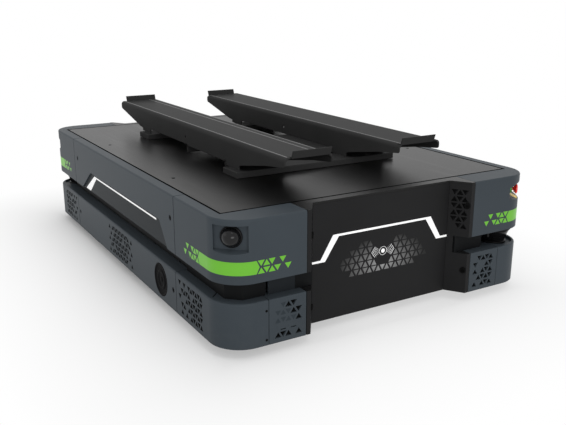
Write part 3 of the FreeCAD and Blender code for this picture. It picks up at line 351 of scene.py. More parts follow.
def makeTread():
    # polyurethane tread, dusty where it meets the floor
    look = treadRubber
    tread = Finish("wheel_tread", look)
    cloud = tread.noise(26.0, 5.0, 0.65)
    tread.set("Base Color", tread.mix(cloud.ramp(0.4, 0.8) * 0.4, look["colour"], look["dust"]))
    tread.set("Roughness", look["roughness"] + cloud * 0.12)
    tread.relief(tread.noise(600.0, 3.0), 0.25, 0.0006, rounded=0.001)
    return tread.material


coats = {"printed_grey": makePatternFilm(), "filter_foam": makeFoam()}
for maker, looks in ((makeMoulding, mouldings), (makeBlackSheet, blackCoats), (makeGloss, glossLooks),
                     (makeMetal, metals)):
    for name, look in looks.items():
        coats[name] = maker(name, look)
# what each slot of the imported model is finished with
finishes = {
    "cover_grey": makeCoverPaint(),
    "deck_grey": makeDeckCoat(),
    "infill_black": coats["infill_coat"],
    "frame_black": coats["frame_coat"],
    "rail_black": makeRailCoat(),
    "light_green": makeLamp(),
    "dome_black": coats["smoked_glass"],
    "scanner_black": coats["scanner_moulding"],
    "button_red": coats["button_red"],
    "wheel_tread": makeTread(),
    "fork_steel": coats["fork_plating"],
    "actuator_alloy": coats["actuator_alloy"],
    "coil_cover": coats["coil_resin"],
}
slotOf = {entry["node"]: entry["material_slot"] for entry in frame["record"]["subparts"]}
for name, thing in nodes.items():
    thing.data.materials.clear()
    thing.data.materials.append(finishes[slotOf[name]])
print("finishes made:", len(bpy.data.materials))


# most parts have a twin after half a turn about Z
still, halfTurn = Matrix.Identity(4), Matrix.Rotation(math.pi, 4, "Z")
upwards, forwards, leftwards = Vector((0, 0, 1)), Vector((0, -1, 0)), Vector((-1, 0, 0))


def place(points, matrix):
    # the matrix applied to an array of points
    points = np.asarray(points, float).reshape(-1, 3)
    return points @ np.array(matrix.to_3x3()).T + np.array(matrix.translation)


def frameOf(where, across, up, out):
    # a place whose X, Y and Z look along three directions at right angles
    turn = Matrix((across, up, out)).transposed().to_4x4()
    return Matrix.Translation(where) @ turn


def facing(where, out):
    # an upright place that looks along out: X across, Y up, Z outwards
    return frameOf(where, upwards.cross(out), upwards, out)


def newPiece(name, shape, matrix, slot, coat="", body="chassis", standsFor="", smooth=True):
    # a mesh of (points, faces) at its place, in its slot's finish or a coat of its own, which may stand
    # for a CAD node; curved faces are shaded smooth and edges sharper than 35 degrees stay crisp
    points, faces = shape
    mesh = bpy.data.meshes.new(name)
    mesh.from_pydata(place(points, matrix).tolist(), [], [list(face) for face in faces])
    mesh.validate()
    mesh.materials.append(coats[coat] if coat else finishes[slot])
    if smooth:
        mesh.shade_smooth()
        mesh.set_sharp_from_angle(angle=math.radians(35.0))
    mesh.update()
    piece = bpy.data.objects.new(name, mesh)
    bpy.context.scene.collection.objects.link(piece)
    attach(piece, body)
    if standsFor:
        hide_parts(standsFor)


def newPair(name, shape, matrix, slot, coat="", body="chassis", standsFor="", smooth=True,
            words=("front", "rear")):
    # a piece and its twin after half a turn; {} in a name becomes the word for the piece's end or side
    for word, turn in zip(words, (still, halfTurn)):
        newPiece(name.format(word), shape, turn @ matrix, slot, coat, body.format(word),
                 standsFor.format(word), smooth)


def join(parts):
    # several (points, faces) as one
    points, faces, start = [], [], 0
    for somePoints, someFaces in parts:
        points.append(np.asarray(somePoints, float).reshape(-1, 3))
        faces += [[start + index for index in face] for face in someFaces]
        start += len(points[-1])
    return np.vstack(points), faces


def soften(corners, steps=5):
    # a polyline of (first, second, reach): a corner with a reach becomes the curve
    # (1 - t)^2 a + 2 t (1 - t) c + t^2 b between the points a and b that lie reach before and after it
    flat = np.array([corner[:2] for corner in corners], float)
    share = np.linspace(0.0, 1.0, steps)[:, None]
    done = []
    for index, corner in enumerate(corners):
        reach = corner[2] if len(corner) > 2 else 0.0
        if reach == 0.0:
            done.append(flat[index:index + 1])
            continue
        before, after = flat[index - 1] - flat[index], flat[(index + 1) % len(flat)] - flat[index]
        start = flat[index] + before / np.linalg.norm(before) * reach
        end = flat[index] + after / np.linalg.norm(after) * reach
        done.append((1 - share) ** 2 * start + 2 * share * (1 - share) * flat[index] + share ** 2 * end)
    return np.vstack(done)


def ringFaces(rows, count, loop):
    # quads between neighbouring rings of count points, outwards for rings that climb
    last = rows if loop else rows - 1
    row, column = np.meshgrid(np.arange(last), np.arange(count), indexing="ij")
    after, above = (column + 1) % count, (row + 1) % rows
    corners = [row * count + column, row * count + after, above * count + after, above * count + column]
    faces = np.stack(corners, axis=-1).reshape(-1, 4).tolist()
    if not loop:
        faces += [list(range(count))[::-1], [(rows - 1) * count + step for step in range(count)]]
    return faces


def evenAngles(count):
    return np.linspace(0.0, 2.0 * math.pi, count, endpoint=False)


def revolved(profile, count, loop=False):
    # point(i, j) = (r_i cos a_j, r_i sin a_j, z_i) for a profile of (r, z) and count angles a_j;
    # a loop closes on itself, any other profile gets a flat face at both ends
    profile = np.asarray(profile, float)
    angle = evenAngles(count)
    ring = np.stack([np.outer(profile[:, 0], np.cos(angle)), np.outer(profile[:, 0], np.sin(angle)),
                     np.repeat(profile[:, 1:2], count, axis=1)], axis=-1)
    return ring.reshape(-1, 3), ringFaces(len(profile), count, loop)


def slab(outline, thickness):
    # a flat outline at z = 0, a copy of it at z = thickness and walls between
    outline = np.asarray(outline, float)
    count = len(outline)
    low = np.column_stack([outline, np.zeros(count)])
    high = np.column_stack([outline, np.full(count, thickness)])
    walls = [[step, (step + 1) % count, count + (step + 1) % count, count + step] for step in range(count)]
    return np.vstack([low, high]), [list(range(count))[::-1], list(range(count, 2 * count))] + walls


def block(low, high):
    # a plain box between two corners
    outline = [(low[0], low[1]), (high[0], low[1]), (high[0], high[1]), (low[0], high[1])]
    points, faces = slab(outline, high[2] - low[2])
    return points + np.array([0.0, 0.0, low[2]]), faces


def lattice(look, cells, first=0.0, mirror=1):
    # thin triangles at (column, row) that point up and down by turns, drawn anticlockwise
    parts = []
    for column, row in cells:
        middle, bottom = mirror * (first + look["step"] * column), look["low"] + look["rise"] * row
        pointsUp = (column + row) % 2 == look["up"]
        base, tip = (bottom, bottom + look["tall"]) if pointsUp else (bottom + look["tall"], bottom)
        outline = [(middle - look["half"], base), (middle + look["half"], base), (middle, tip)]
        parts.append(slab(outline if pointsUp else outline[::-1], look["thick"]))
    return join(parts)


# places that the pieces share
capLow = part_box("cap_front_left")[0]
deckLow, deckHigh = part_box("top_deck")
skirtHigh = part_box("skirt_left")[1]
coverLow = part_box("upper_cover_left")[0]
panelLow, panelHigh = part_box("charging_panel")
cornerRadius = 0.090
halfWidth, halfLength = -capLow.x, -capLow.y


def cornerPlace(side, degrees, outwards, level):
    # a place on the level line out of a front corner's centre
    angle = math.radians(degrees)
    out = Vector((side * math.cos(angle), -math.sin(angle), 0.0))
    centre = Vector((side * (halfWidth - cornerRadius), -(halfLength - cornerRadius), level))
    return facing(centre + out * outwards, out)


def sidePlace(depth, along, level):
    # a place that lies depth inside the left side's face
    return facing((-halfWidth + depth, along, level), leftwards)


def bayWall(side, near, far):
    # both ends of a slanted bay wall, given as (x, y), and the way that its face looks
    start, end = Vector((side * near[0], near[1], 0.0)), Vector((side * far[0], far[1], 0.0))
    run = (end - start).normalized()
    return start, end, Vector((-side * abs(run.y), -abs(run.x), 0.0))


panelFace = {"ink": 0.0004, "line": 0.006, "bar": 0.0185, "low": 0.2005, "high": 0.2665,
             # where the slants meet the lower and the upper run, from the middle
             "foot": 0.206, "top": 0.162, "trim": 0.004}
panelPlace = facing((0.0, panelLow.y, 0.0), forwards)


def makePanelLine():
    # thin at both sides, a broad slant up, a thin level run and a broad slant down
    look = panelFace
    line, low, high = look["line"], look["low"], look["high"]
    end, foot, top, bar = panelHigh.x, look["foot"], look["top"], look["bar"] / 2
    under = [(-end, low), (-foot + bar, low), (-top + bar, high), (top - bar, high), (foot - bar, low),
             (end, low)]
    trimmed = foot + bar - look["trim"]
    over = [(-end, low + line), (-trimmed, low + line), (-top - bar, high + line), (top + bar, high + line),
            (trimmed, low + line), (end, low + line)]
    strips = [[under[step], under[step + 1], over[step + 1], over[step]] for step in range(len(under) - 1)]
    shape = join([slab(strip, look["ink"]) for strip in strips])
    newPiece("panel_line", shape, panelPlace, "print_white", "printed_white", smooth=False)


panelPattern = {"step": 0.0153, "half": 0.0089, "tall": 0.0162, "rise": 0.0197, "low": 0.1410,
                "thick": 0.0003, "up": 1,
                # per row: first and last column, and the half width of the gap round the sign
                "rows": ((-7, 7, 0), (-9, 10, 1), (-9, 9, 2), (-7, 8, 2), (-5, 5, 2))}


def makePanelPattern():
    # rows of triangles with a gap for the sign in their middle
    look = panelPattern
    cells = [(column, row) for row, (first, last, gap) in enumerate(look["rows"])
             for column in range(first, last + 1) if not gap or abs(column) > gap]
    newPiece("panel_pattern", lattice(look, cells), panelPlace, "print_white", "printed_grey", smooth=False)


chargeSign = {"level": 0.198, "dot": 0.0062, "ring": 0.0128, "thin": 0.0009, "ink": 0.0004, "count": 40,
              "waves": 5, "firstTip": 0.0165, "tipStep": 0.0056, "firstTall": 0.0055, "tallStep": 0.0025,
              "slant": 0.75, "firstThin": 0.8, "thinStep": 0.15}


def makeChargeSign():
    # a dot in a ring, with angular waves that grow to both sides
    look = chargeSign
    inner, outer, ink = look["ring"] - look["thin"], look["ring"], look["ink"]
    angle = evenAngles(look["count"])
    circle = np.column_stack([np.cos(angle), np.sin(angle)])
    parts = [slab(circle * look["dot"], ink),
             revolved([(inner, 0.0), (outer, 0.0), (outer, ink), (inner, ink)], look["count"], True)]
    for wave in range(look["waves"]):
        tip, tall = look["firstTip"] + look["tipStep"] * wave, look["firstTall"] + look["tallStep"] * wave
        thin = look["thin"] * (look["firstThin"] + look["thinStep"] * wave)
        back = tip - tall * look["slant"]
        for side in (-1, 1):
            for up in (-1, 1):
                outline = [(side * tip, 0.0), (side * back, up * tall),
                           (side * (back + thin), up * tall), (side * (tip + thin), 0.0)]
                parts.append(slab(outline[::-1] if side * up > 0 else outline, ink))
    middle = Matrix.Translation((0.0, look["level"], 0.0))
    newPiece("panel_sign", join(parts), panelPlace @ middle, "print_white", "printed_white", smooth=False)


namePlate = {"depth": 0.006, "inset": 0.0012, "film": 0.0003, "ink": 0.0005, "play": 0.0005,
             # corners of the recess as (length along Y, height)
             "top": 0.279, "rear": 0.290, "front": -0.376, "rearLow": 0.402, "frontLow": -0.432,
             # the line's heights and far end, where it bends, and the foot of its bar
             "line": (0.2655, 0.2708), "end": 0.339, "bend": (-0.240, -0.262), "foot": (-0.318, -0.372),
             "rise": 0.001}


def makeNamePlates():
    # a dark film in each side recess with a thin line near its top that ends in a broad slanted bar
    look = namePlate
    seat, inset, low = sidePlace(look["depth"], 0.0, 0.0), look["inset"], coverLow.z + look["play"]
    film = [(-look["rearLow"] + inset * 3, low), (-look["frontLow"] - inset * 3, low),
            (-look["front"] - inset, look["top"] - inset), (-look["rear"] + inset, look["top"] - inset)]
    newPair("name_film_{}", slab(film, look["film"]), seat, "cover_grey", "name_film", smooth=False,
            words=("left", "right"))
    (near, far), (bottom, top), foot = look["bend"], look["line"], low + look["rise"]
    line = [(far, top), (near, bottom), (look["end"], bottom), (look["end"], top)]
    bar = [(look["foot"][1], foot), (look["foot"][0], foot), (near, bottom), (far, top)]
    shape = join([slab(outline, look["ink"]) for outline in (line, bar)])
    newPair("name_line_{}", shape, seat, "print_white", "printed_white", smooth=False,
            words=("left", "right"))


makePanelLine()
makePanelPattern()
makeChargeSign()
makeNamePlates()
print("printed films made")


deckSeal = {"gap": 0.004, "play": 0.0002, "lip": 0.0010, "rise": 0.0003, "seat": 0.00005, "edge": 0.0001}


def makeDeckSeal():
    # black rubber in the gap round the deck with a flat lip over both edges: the profile (reach, z)
    # goes round the deck as rings of four corners (+-(X + reach), +-(Y + reach), z)
    look = deckSeal
    low, high = deckLow.z + look["play"], deckHigh.z + look["rise"]
    near, far, edge = look["play"], look["gap"] - look["play"], look["edge"]
    inner, outer, seat = -look["lip"], look["gap"] + look["lip"], deckHigh.z + look["seat"]
    reach, level = soften([(near, low), (far, low), (far, seat), (outer, seat), (outer, high, edge),
                           (inner, high, edge), (inner, seat), (near, seat)]).T
    x, y = deckHigh.x + reach, deckHigh.y + reach
    rings = np.stack([np.column_stack([x * right, y * back, level])
                      for right, back in ((1, 1), (-1, 1), (-1, -1), (1, -1))], axis=1)
    newPiece("deck_seal", (rings, ringFaces(len(rings), 4, True)), still, "infill_black", "seal_rubber")


screwHeads = {"cover": {"radius": 0.0068, "tall": 0.0034, "flats": 0.0030, "deep": 0.0022},
              "bay": {"radius": 0.0090, "tall": 0.0050, "flats": 0.0042, "deep": 0.0032},
              "count": 48, "coverLevel": 0.304, "coverAlong": (-0.461, 0.448), "skirtLevel": 0.092,
              "skirtAlong": (-0.462, 0.462), "seat": 0.004, "bayLevels": (0.301, 0.102), "bayInset": 0.15,
              "bayMouth": 0.2746}


def socketHead(size):
    # point(i, j) = (r cos a_j, r sin a_j, z_i): r is the rim's radius outside and, inside the socket,
    # flats / cos of the angle to the nearest flat, which draws a hexagon
    count = screwHeads["count"]
    angle = evenAngles(count)
    hexagon = size["flats"] / np.cos((angle + math.pi / 6) % (math.pi / 3) - math.pi / 6)
    radius, tall, edge = size["radius"], size["tall"], size["tall"] * 0.3
    rim = soften([(radius, 0.0), (radius, tall, edge), (size["flats"] * 1.35, tall)])
    rings = [(np.full(count, ring), level) for ring, level in rim]
    rings += [(hexagon, tall), (hexagon, tall - size["deep"]), (hexagon * 0.05, tall - size["deep"] * 1.1)]
    points = [np.column_stack([ring * np.cos(angle), ring * np.sin(angle), np.full(count, level)])
              for ring, level in rings]
    return np.array(points).reshape(-1, 3), ringFaces(len(rings), count, False)


def makeScrews():
    # socket heads in the side covers and on the slanted walls of both bays
    look = screwHeads
    seats = [(look["cover"], sidePlace(look["seat"], along, look[f"{band}Level"]))
             for band in ("cover", "skirt") for along in look[f"{band}Along"]]
    for side in (-1, 1):
        near, far, out = bayWall(side, (panelHigh.x, panelLow.y), (look["bayMouth"], -halfLength))
        middle = far + (near - far) * look["bayInset"]
        seats += [(look["bay"], facing(middle + upwards * level, out)) for level in look["bayLevels"]]
    parts = []
    for size, seat in seats:
        points, faces = socketHead(size)
        parts += [(place(points, turn @ seat), faces) for turn in (still, halfTurn)]
    newPiece("socket_screws", join(parts), still, "frame_black", "screw_black", standsFor="cover_screws")


makeDeckSeal()
makeScrews()
print("seal and screws made")


slotLining = {"near": 0.0001, "thick": 0.0004, "low": 0.1537, "high": 0.2044, "start": 0.3925,
              "front": 0.756, "side": 0.492, "flat": 0.034, "seam": 0.487, "bay": 0.251, "leftEnd": 0.304,
              "screenEnd": 0.3825, "rightEnd": 0.3595, "back": 0.7502, "gap": 0.0002}


def lining(path):
    # a thin wall along a path of (x, y) that runs with its outside at the right: each corner moves out
    # along the mean of its two normals
    look, path = slotLining, np.asarray(path, float)
    step = np.diff(path, axis=0)
    normal = np.column_stack([step[:, 1], -step[:, 0]]) / np.linalg.norm(step, axis=1)[:, None]
    corner = np.vstack([normal[:1], normal[:-1] + normal[1:], normal[-1:]])
    corner /= (corner * np.vstack([normal[:1], normal])).sum(axis=1)[:, None]
    near, far = path + corner * look["near"], path + corner * look["thick"]
    points, faces = slab(np.vstack([far, near[::-1]]), look["high"] - look["low"])
    return points + np.array([0.0, 0.0, look["low"]]), faces


def makeSlotShade():
    # near-black sheet on the walls that close the slot, round the camera's corner and beside the bay: painted
    # shade for the deep shadow there, over walls that are partly dark in themselves; on the bay's screen a
    # darkened cover colour paints the same shade
    look = slotLining
    front, side, flat, bay = -look["front"], look["side"], look["flat"], look["bay"]
    paths = {"corner": [(-side, -look["seam"]), (-side, front + flat), (flat - side, front),
                        (-look["start"], front)],
             "bay_left": [(-look["leftEnd"], front), (-bay, front), (-bay, -look["back"])],
             "bay_right": [(bay, -look["back"]), (bay, front), (look["rightEnd"], front)]}
    for word, path in paths.items():
        newPair("slot_" + word + "_{}", lining(path), still, "infill_black", "slot_lining", smooth=False)
    screen = lining([(-look["screenEnd"], front), (-look["leftEnd"] - look["gap"], front)])
    newPair("slot_screen_{}", screen, still, "cover_grey", "screen_paint", smooth=False)


bumperMarks = {"seamFrom": (-0.514, -0.700), "seamTo": (-0.4595, -0.6455), "wide": 0.0024, "seam": 0.0003,
               "bumper": 0.15355, "screwAcross": 0.407, "screwLevels": (0.125, 0.045),
               "screwRadius": 0.0034,
               # the lattice of darker triangles that paint the shade of a shallow relief
               "first": -0.3735, "step": 0.0155, "half": 0.0084, "tall": 0.0132, "low": 0.0439,
               "rise": 0.0203, "thick": 0.00012, "up": 0,
               "cells": ((1, 4), (0, 3), (1, 3), (2, 3), (0, 2), (1, 2), (2, 2), (3, 2))}


def makeBumperMarks():
    # a mitre seam on the bumper's top, two small flush screws, and darker triangles among the vents that
    # paint the shade of a shallow relief
    look = bumperMarks
    start, stop = np.array(look["seamFrom"]), np.array(look["seamTo"])
    along = (stop - start) / np.linalg.norm(stop - start)
    half = np.array([along[1], -along[0]]) * look["wide"] / 2
    seam = slab([start + half, stop + half, stop - half, start - half], look["seam"])
    onTop = Matrix.Translation((0.0, 0.0, look["bumper"]))
    newPair("bumper_seam_{}", seam, onTop, "infill_black", "seal_rubber", smooth=False)
    face, radius = facing((0.0, -halfLength, 0.0), forwards), look["screwRadius"]
    head = revolved(soften([(radius, 0.0), (radius, 0.0007, 0.0004), (0.0014, 0.0007), (0.0012, 0.0002),
                            (0.0002, 0.0002)]), 40)
    heads = [(head[0] + np.array([-look["screwAcross"], level, 0.0]), head[1])
             for level in look["screwLevels"]]
    newPair("bumper_screws_{}", join(heads), face, "frame_black", "screw_black", smooth=False)
    cells = lattice(look, look["cells"], look["first"])
    newPair("bumper_cells_{}", cells, face, "cover_grey", "shallow_print", smooth=False)


railHighlightLines = {"half": 0.0021, "tall": 0.0009, "sunk": 0.0001, "ends": 0.014, "count": 9, "level": 0.4755,
             "reach": 0.0120,
             # per rail: how far its other lines lie from its +X side
             "rail_left": (0.0120, 0.0360), "rail_right": (0.0120,)}


def makeRailHighlights():
    # rounded lines along the top of each rail, in a pale grey that paints the highlight of the rails' bends:
    # point(i) = (w cos b_i, h sin b_i) over a flat foot
    look = railHighlightLines
    half, sunk = look["half"], look["sunk"]
    lift = np.linspace(0.0, math.pi, look["count"])
    arch = np.column_stack([half * np.cos(lift), look["tall"] * np.sin(lift)])
    arch = np.vstack([arch, [(-half, -sunk), (half, -sunk)]])
    for name in ("rail_left", "rail_right"):
        low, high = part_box(name)
        points, faces = slab(arch, high.y - low.y - 2 * look["ends"])
        lines = [(place(points, facing((across, high.y - look["ends"], look["level"]), forwards)), faces)
                 for across in [low.x + look["reach"]] + [high.x - reach for reach in look[name]]]
        newPiece("highlight_lines_" + name, join(lines), still, "rail_black", "rubbed_edge", body="lift")


makeSlotShade()
makeBumperMarks()
makeRailHighlights()
print("slot linings, bumper marks and rail edges made")


cornerCamera = {"degrees": 47.5, "seat": 0.070, "level": 0.324, "radius": 0.0245, "foot": 0.004,
                "rim": 0.004, "play": 0.0003, "base": 0.0005, "count": 96}


def makeCameras():
    # a ring with a rounded lip holds a smoked half ball: point(i) = (R cos b_i, foot + R sin b_i)
    look = cornerCamera
    radius, foot = look["radius"], look["foot"]
    outer, bore = radius + look["rim"], radius + look["play"]
    lift = np.linspace(0.0, math.pi / 2 - 0.01, 24)
    ball = np.column_stack([radius * np.cos(lift), foot + radius * np.sin(lift)])
    glass = revolved(np.vstack([[(radius, look["base"])], ball]), look["count"])
    ring = revolved(soften([(bore, 0.0), (outer, 0.0), (outer, foot, 0.0012),
                            (radius + 0.0012, foot + 0.002, 0.0008), (bore, foot + 0.0012)]),
                    look["count"], True)
    seat = cornerPlace(-1, look["degrees"], look["seat"], look["level"])
    for word, shape, slot in (("glass", glass, "dome_black"), ("ring", ring, "scanner_black")):
        newPair("camera_" + word + "_{}", shape, seat, slot, standsFor="camera_dome_{}")


stopSwitch = {"degrees": 45.0, "seat": 0.062, "level": 0.3185, "stem": 0.0050, "collar": 0.012,
              "tall": 0.008, "flange": 0.015, "flangeTall": 0.0025, "head": 0.015, "low": 0.013,
              "running": 0.00006, "count": 64}
stopSeat = cornerPlace(1, stopSwitch["degrees"], stopSwitch["seat"], stopSwitch["level"])


def makeStopSwitches():
    # flanged collar with a lit ring round it, and a red mushroom head on a stem
    look = stopSwitch
    low, rim, stem, count = look["low"], look["head"], look["stem"], look["count"]
    head = soften([(0.0002, 0.005), (stem, 0.005), (stem, low, 0.001), (rim - 0.005, low, 0.001),
                   (rim - 0.004, low + 0.003, 0.001), (rim, low + 0.006, 0.001), (rim, low + 0.009, 0.001),
                   (rim - 0.002, low + 0.011, 0.0015), (rim - 0.006, low + 0.012, 0.001),
                   (rim - 0.0075, low + 0.0116, 0.0006), (0.0002, low + 0.0125)])
    bore, collar, flange, step = stem + look["running"], look["collar"], look["flange"], look["flangeTall"]
    base = soften([(bore, 0.0), (flange, 0.0), (flange, step, 0.0008), (collar, step),
                   (collar, look["tall"], 0.001), (bore, look["tall"])])
    inner, outer = collar + 0.0001, collar + 0.0008
    ring = soften([(inner, 0.0027), (outer, 0.0027), (outer, 0.0074, 0.0004), (inner, 0.0074)])
    newPair("stop_collar_{}", revolved(base, count, True), stopSeat, "scanner_black",
            standsFor="stop_base_{}")
    newPair("stop_lit_ring_{}", revolved(ring, count, True), stopSeat, "light_green", "ring_green",
            standsFor="stop_base_{}")
    newPair("stop_head_{}", revolved(head, count), stopSeat, "button_red", body="stop_button_{}",
            standsFor="stop_button_{}")


stopPlate = {"near": 0.003, "far": 0.024, "half": 0.0150, "thick": 0.0005, "round": 0.002, "below": 0.0160,
             # the pocket's lower wall falls by this share of its length
             "fall": 12.5 / 28.0}


def makeStopPlates():
    # yellow plate on the slanted lower wall of the stop button's pocket
    look = stopPlate
    slope, across = math.hypot(1.0, look["fall"]), Vector((1, 0, 0))
    down = Vector((0.0, -look["fall"] / slope, 1.0 / slope))
    lean = frameOf((0.0, -look["below"], 0.0), across, down, across.cross(down))
    half, near, far, bend = look["half"], look["near"] * slope, look["far"] * slope, look["round"]
    outline = soften([(-half, near, bend), (half, near, bend), (half, far, bend), (-half, far, bend)])
    points, faces = slab(outline, -look["thick"])
    newPair("stop_plate_{}", (points, [face[::-1] for face in faces]), stopSeat @ lean, "label_yellow",
            "label_yellow", smooth=False)


makeCameras()
makeStopSwitches()
makeStopPlates()
print("cameras and stop buttons made")


scannerShape = {"x": 0.455, "y": -0.716, "tall": 0.059, "dish": 0.008, "count": 96,
                "waist": 0.0302, "head": 0.0500,
                "ribs": 3, "firstRib": 0.0468, "ribStep": 0.0036, "ribDeep": 0.0010}


def makeScanners():
    # turned body: foot, waist and ribbed head; the flared window ring sits between foot and head
    look = scannerShape
    tall, waist, head = look["tall"], look["waist"], look["head"]
    ribs = []
    for rib in range(look["ribs"]):
        level, groove = look["firstRib"] + look["ribStep"] * rib, head - look["ribDeep"]
        ribs += [(head, level), (head, level + 0.0022, 0.0003), (groove, level + 0.0024, 0.0002),
                 (groove, level + 0.0032, 0.0002)]
    body = soften([(0.0002, 0.0), (0.038, 0.0), (0.038, 0.007, 0.0012), (waist, 0.0090, 0.0008),
                   (waist, 0.0420), (0.047, 0.0420, 0.0006), (head, 0.0452, 0.001)] + ribs
                  + [(head, tall, 0.0008), (0.0002, tall)])
    window = soften([(waist + 0.0002, 0.0100), (0.0350, 0.0100, 0.0010), (0.0394, 0.0250, 0.0080),
                     (0.0460, 0.0414, 0.0006), (waist + 0.0002, 0.0414)])
    seat = Matrix.Translation((look["x"], look["y"], skirtHigh.z - look["dish"]))
    newPair("scanner_body_{}", revolved(body, look["count"]), seat, "scanner_black", standsFor="scanner_{}")
    newPair("scanner_window_{}", revolved(window, look["count"], True), seat, "dome_black",
            standsFor="scanner_windows")


sounderShape = {"radius": 0.050, "along": -0.368, "level": 0.092, "seat": 0.004, "count": 96, "slots": 24,
                "slotDeep": 0.0005, "coneFrom": 0.0295, "coneRim": 0.0070}


def makeSounders():
    # turned horn with a rim, a slotted cone and a hub: the cone's height carries one wave per slot
    look = sounderShape
    radius, count = look["radius"], look["count"]
    profile = soften([(radius, 0.0), (radius, 0.0040, 0.0008), (radius - 0.0035, 0.0047, 0.0008),
                      (radius - 0.0075, 0.0020, 0.0010), (0.0300, 0.0012, 0.0010), (0.0270, 0.0036, 0.0008),
                      (0.0230, 0.0036, 0.0008), (0.0180, 0.0014, 0.0010), (0.0090, 0.0014, 0.0008),
                      (0.0060, 0.0034, 0.0010), (0.0002, 0.0038)])
    rings, faces = revolved(profile, count)
    rings = rings.reshape(len(profile), count, 3)
    angle = evenAngles(count)
    onCone = (profile[:, 0] > look["coneFrom"]) & (profile[:, 0] < radius - look["coneRim"])
    rings[onCone, :, 2] -= look["slotDeep"] * (0.5 + 0.5 * np.sin(look["slots"] * angle))
    seat = sidePlace(look["seat"], look["along"], look["level"])
    newPair("sounder_{}", (rings, faces), seat, "scanner_black", "sounder_moulding", standsFor="sounders",
            words=("left", "right"))


makeScanners()
makeSounders()
print("scanners and sounders made")


wheelShapes = {
    "drive": {"x": 0.250, "y": -0.450, "radius": 0.100, "half": 0.040, "bore": 0.0125, "tyre": 0.076,
              "hub": 0.030, "dish": 0.014, "edge": 0.005, "bolts": 6, "boltRing": 0.052, "groove": 0.012},
    "caster": {"x": -0.310, "y": -0.475, "radius": 0.075, "half": 0.025, "bore": 0.008, "tyre": 0.055,
               "hub": 0.020, "dish": 0.008, "edge": 0.004, "bolts": 5, "boltRing": 0.037, "groove": 0.009}}
wheelDetail = {"grooveHalf": 0.0016, "floorHalf": 0.0008, "grooveDeep": 0.0012, "grooveRound": 0.0004,
               "running": 0.00006, "play": 0.0003, "rim": 0.0005, "count": 96, "sunk": 0.0005,
               "bolt": {"radius": 0.0055, "tall": 0.0045, "flats": 0.0026, "deep": 0.002}}


def wheelTyre(look):
    # loop profile with a shallow groove each side of the middle
    radius, half, inner, edge = look["radius"], look["half"], look["tyre"], look["edge"]
    wide, floor, bend = wheelDetail["grooveHalf"], wheelDetail["floorHalf"], wheelDetail["grooveRound"]
    deep = radius - wheelDetail["grooveDeep"]
    run = [(inner, -half), (radius - edge, -half, 0.001), (radius, -half + edge, 0.003)]
    for middle in (-look["groove"], look["groove"]):
        run += [(radius, middle - wide, bend), (deep, middle - floor, bend),
                (deep, middle + floor, bend), (radius, middle + wide, bend)]
    run += [(radius, half - edge, 0.003), (radius - edge, half, 0.001), (inner, half)]
    return soften(run)


def wheelHub(look):
    # loop profile of the dished rim
    half, hub, bore = look["half"], look["hub"], look["bore"] + wheelDetail["running"]
    bottom, outer, rim = -half + look["dish"], look["tyre"] - wheelDetail["play"], half - wheelDetail["rim"]
    dish = look["tyre"] - 0.006
    return soften([(bore, -half), (hub, -half, 0.001), (hub + 0.004, bottom + 0.002, 0.003),
                   (dish, bottom, 0.004), (outer, -rim, 0.0008), (outer, rim, 0.0008), (dish, -bottom, 0.004),
                   (hub + 0.004, -bottom - 0.002, 0.003), (hub, half, 0.001), (bore, half)])


def makeWheels():
    # a wheel lies about Z first and is then turned to roll about X; its bolts sit in the dished faces
    count = wheelDetail["count"]
    points, faces = socketHead(wheelDetail["bolt"])
    for kind, look in wheelShapes.items():
        seat = frameOf((look["x"], look["y"], look["radius"]), -forwards, upwards, -leftwards)
        ring, level = look["boltRing"], look["half"] - look["dish"] - wheelDetail["sunk"]
        bolts = []
        for step in range(look["bolts"]):
            angle = 2.0 * math.pi * step / look["bolts"]
            for face, flip in ((-1, Matrix.Rotation(math.pi, 4, "X")), (1, still)):
                where = Matrix.Translation((ring * math.cos(angle), ring * math.sin(angle), face * level))
                bolts.append((place(points, where @ flip), faces))
        wheel = kind + "_wheel_{}"
        tyre = revolved(wheelTyre(look), count, True)
        newPair(kind + "_tyre_{}", tyre, seat, "wheel_tread", body=wheel, standsFor=wheel)
        hub = join([revolved(wheelHub(look), count, True)] + bolts)
        newPair(kind + "_hub_{}", hub, seat, "actuator_alloy", body=wheel, standsFor=wheel)


makeWheels()
print("wheels made")


filterPads = {"thick": 0.004, "low": 0.038, "high": 0.146, "play": 0.0001,
              "wall": 0.007, "frontWall": 0.006,
              # half length beside the skirt, and both ends beside a corner and across the front
              "skirt": 0.130, "corner": (-0.665, -0.496), "vent": (0.296, 0.393)}
bayFilter = {"near": (0.2436, -0.7357), "far": (0.2760, -0.7824), "low": 0.212, "high": 0.362,
             "thick": 0.003, "play": 0.0002}


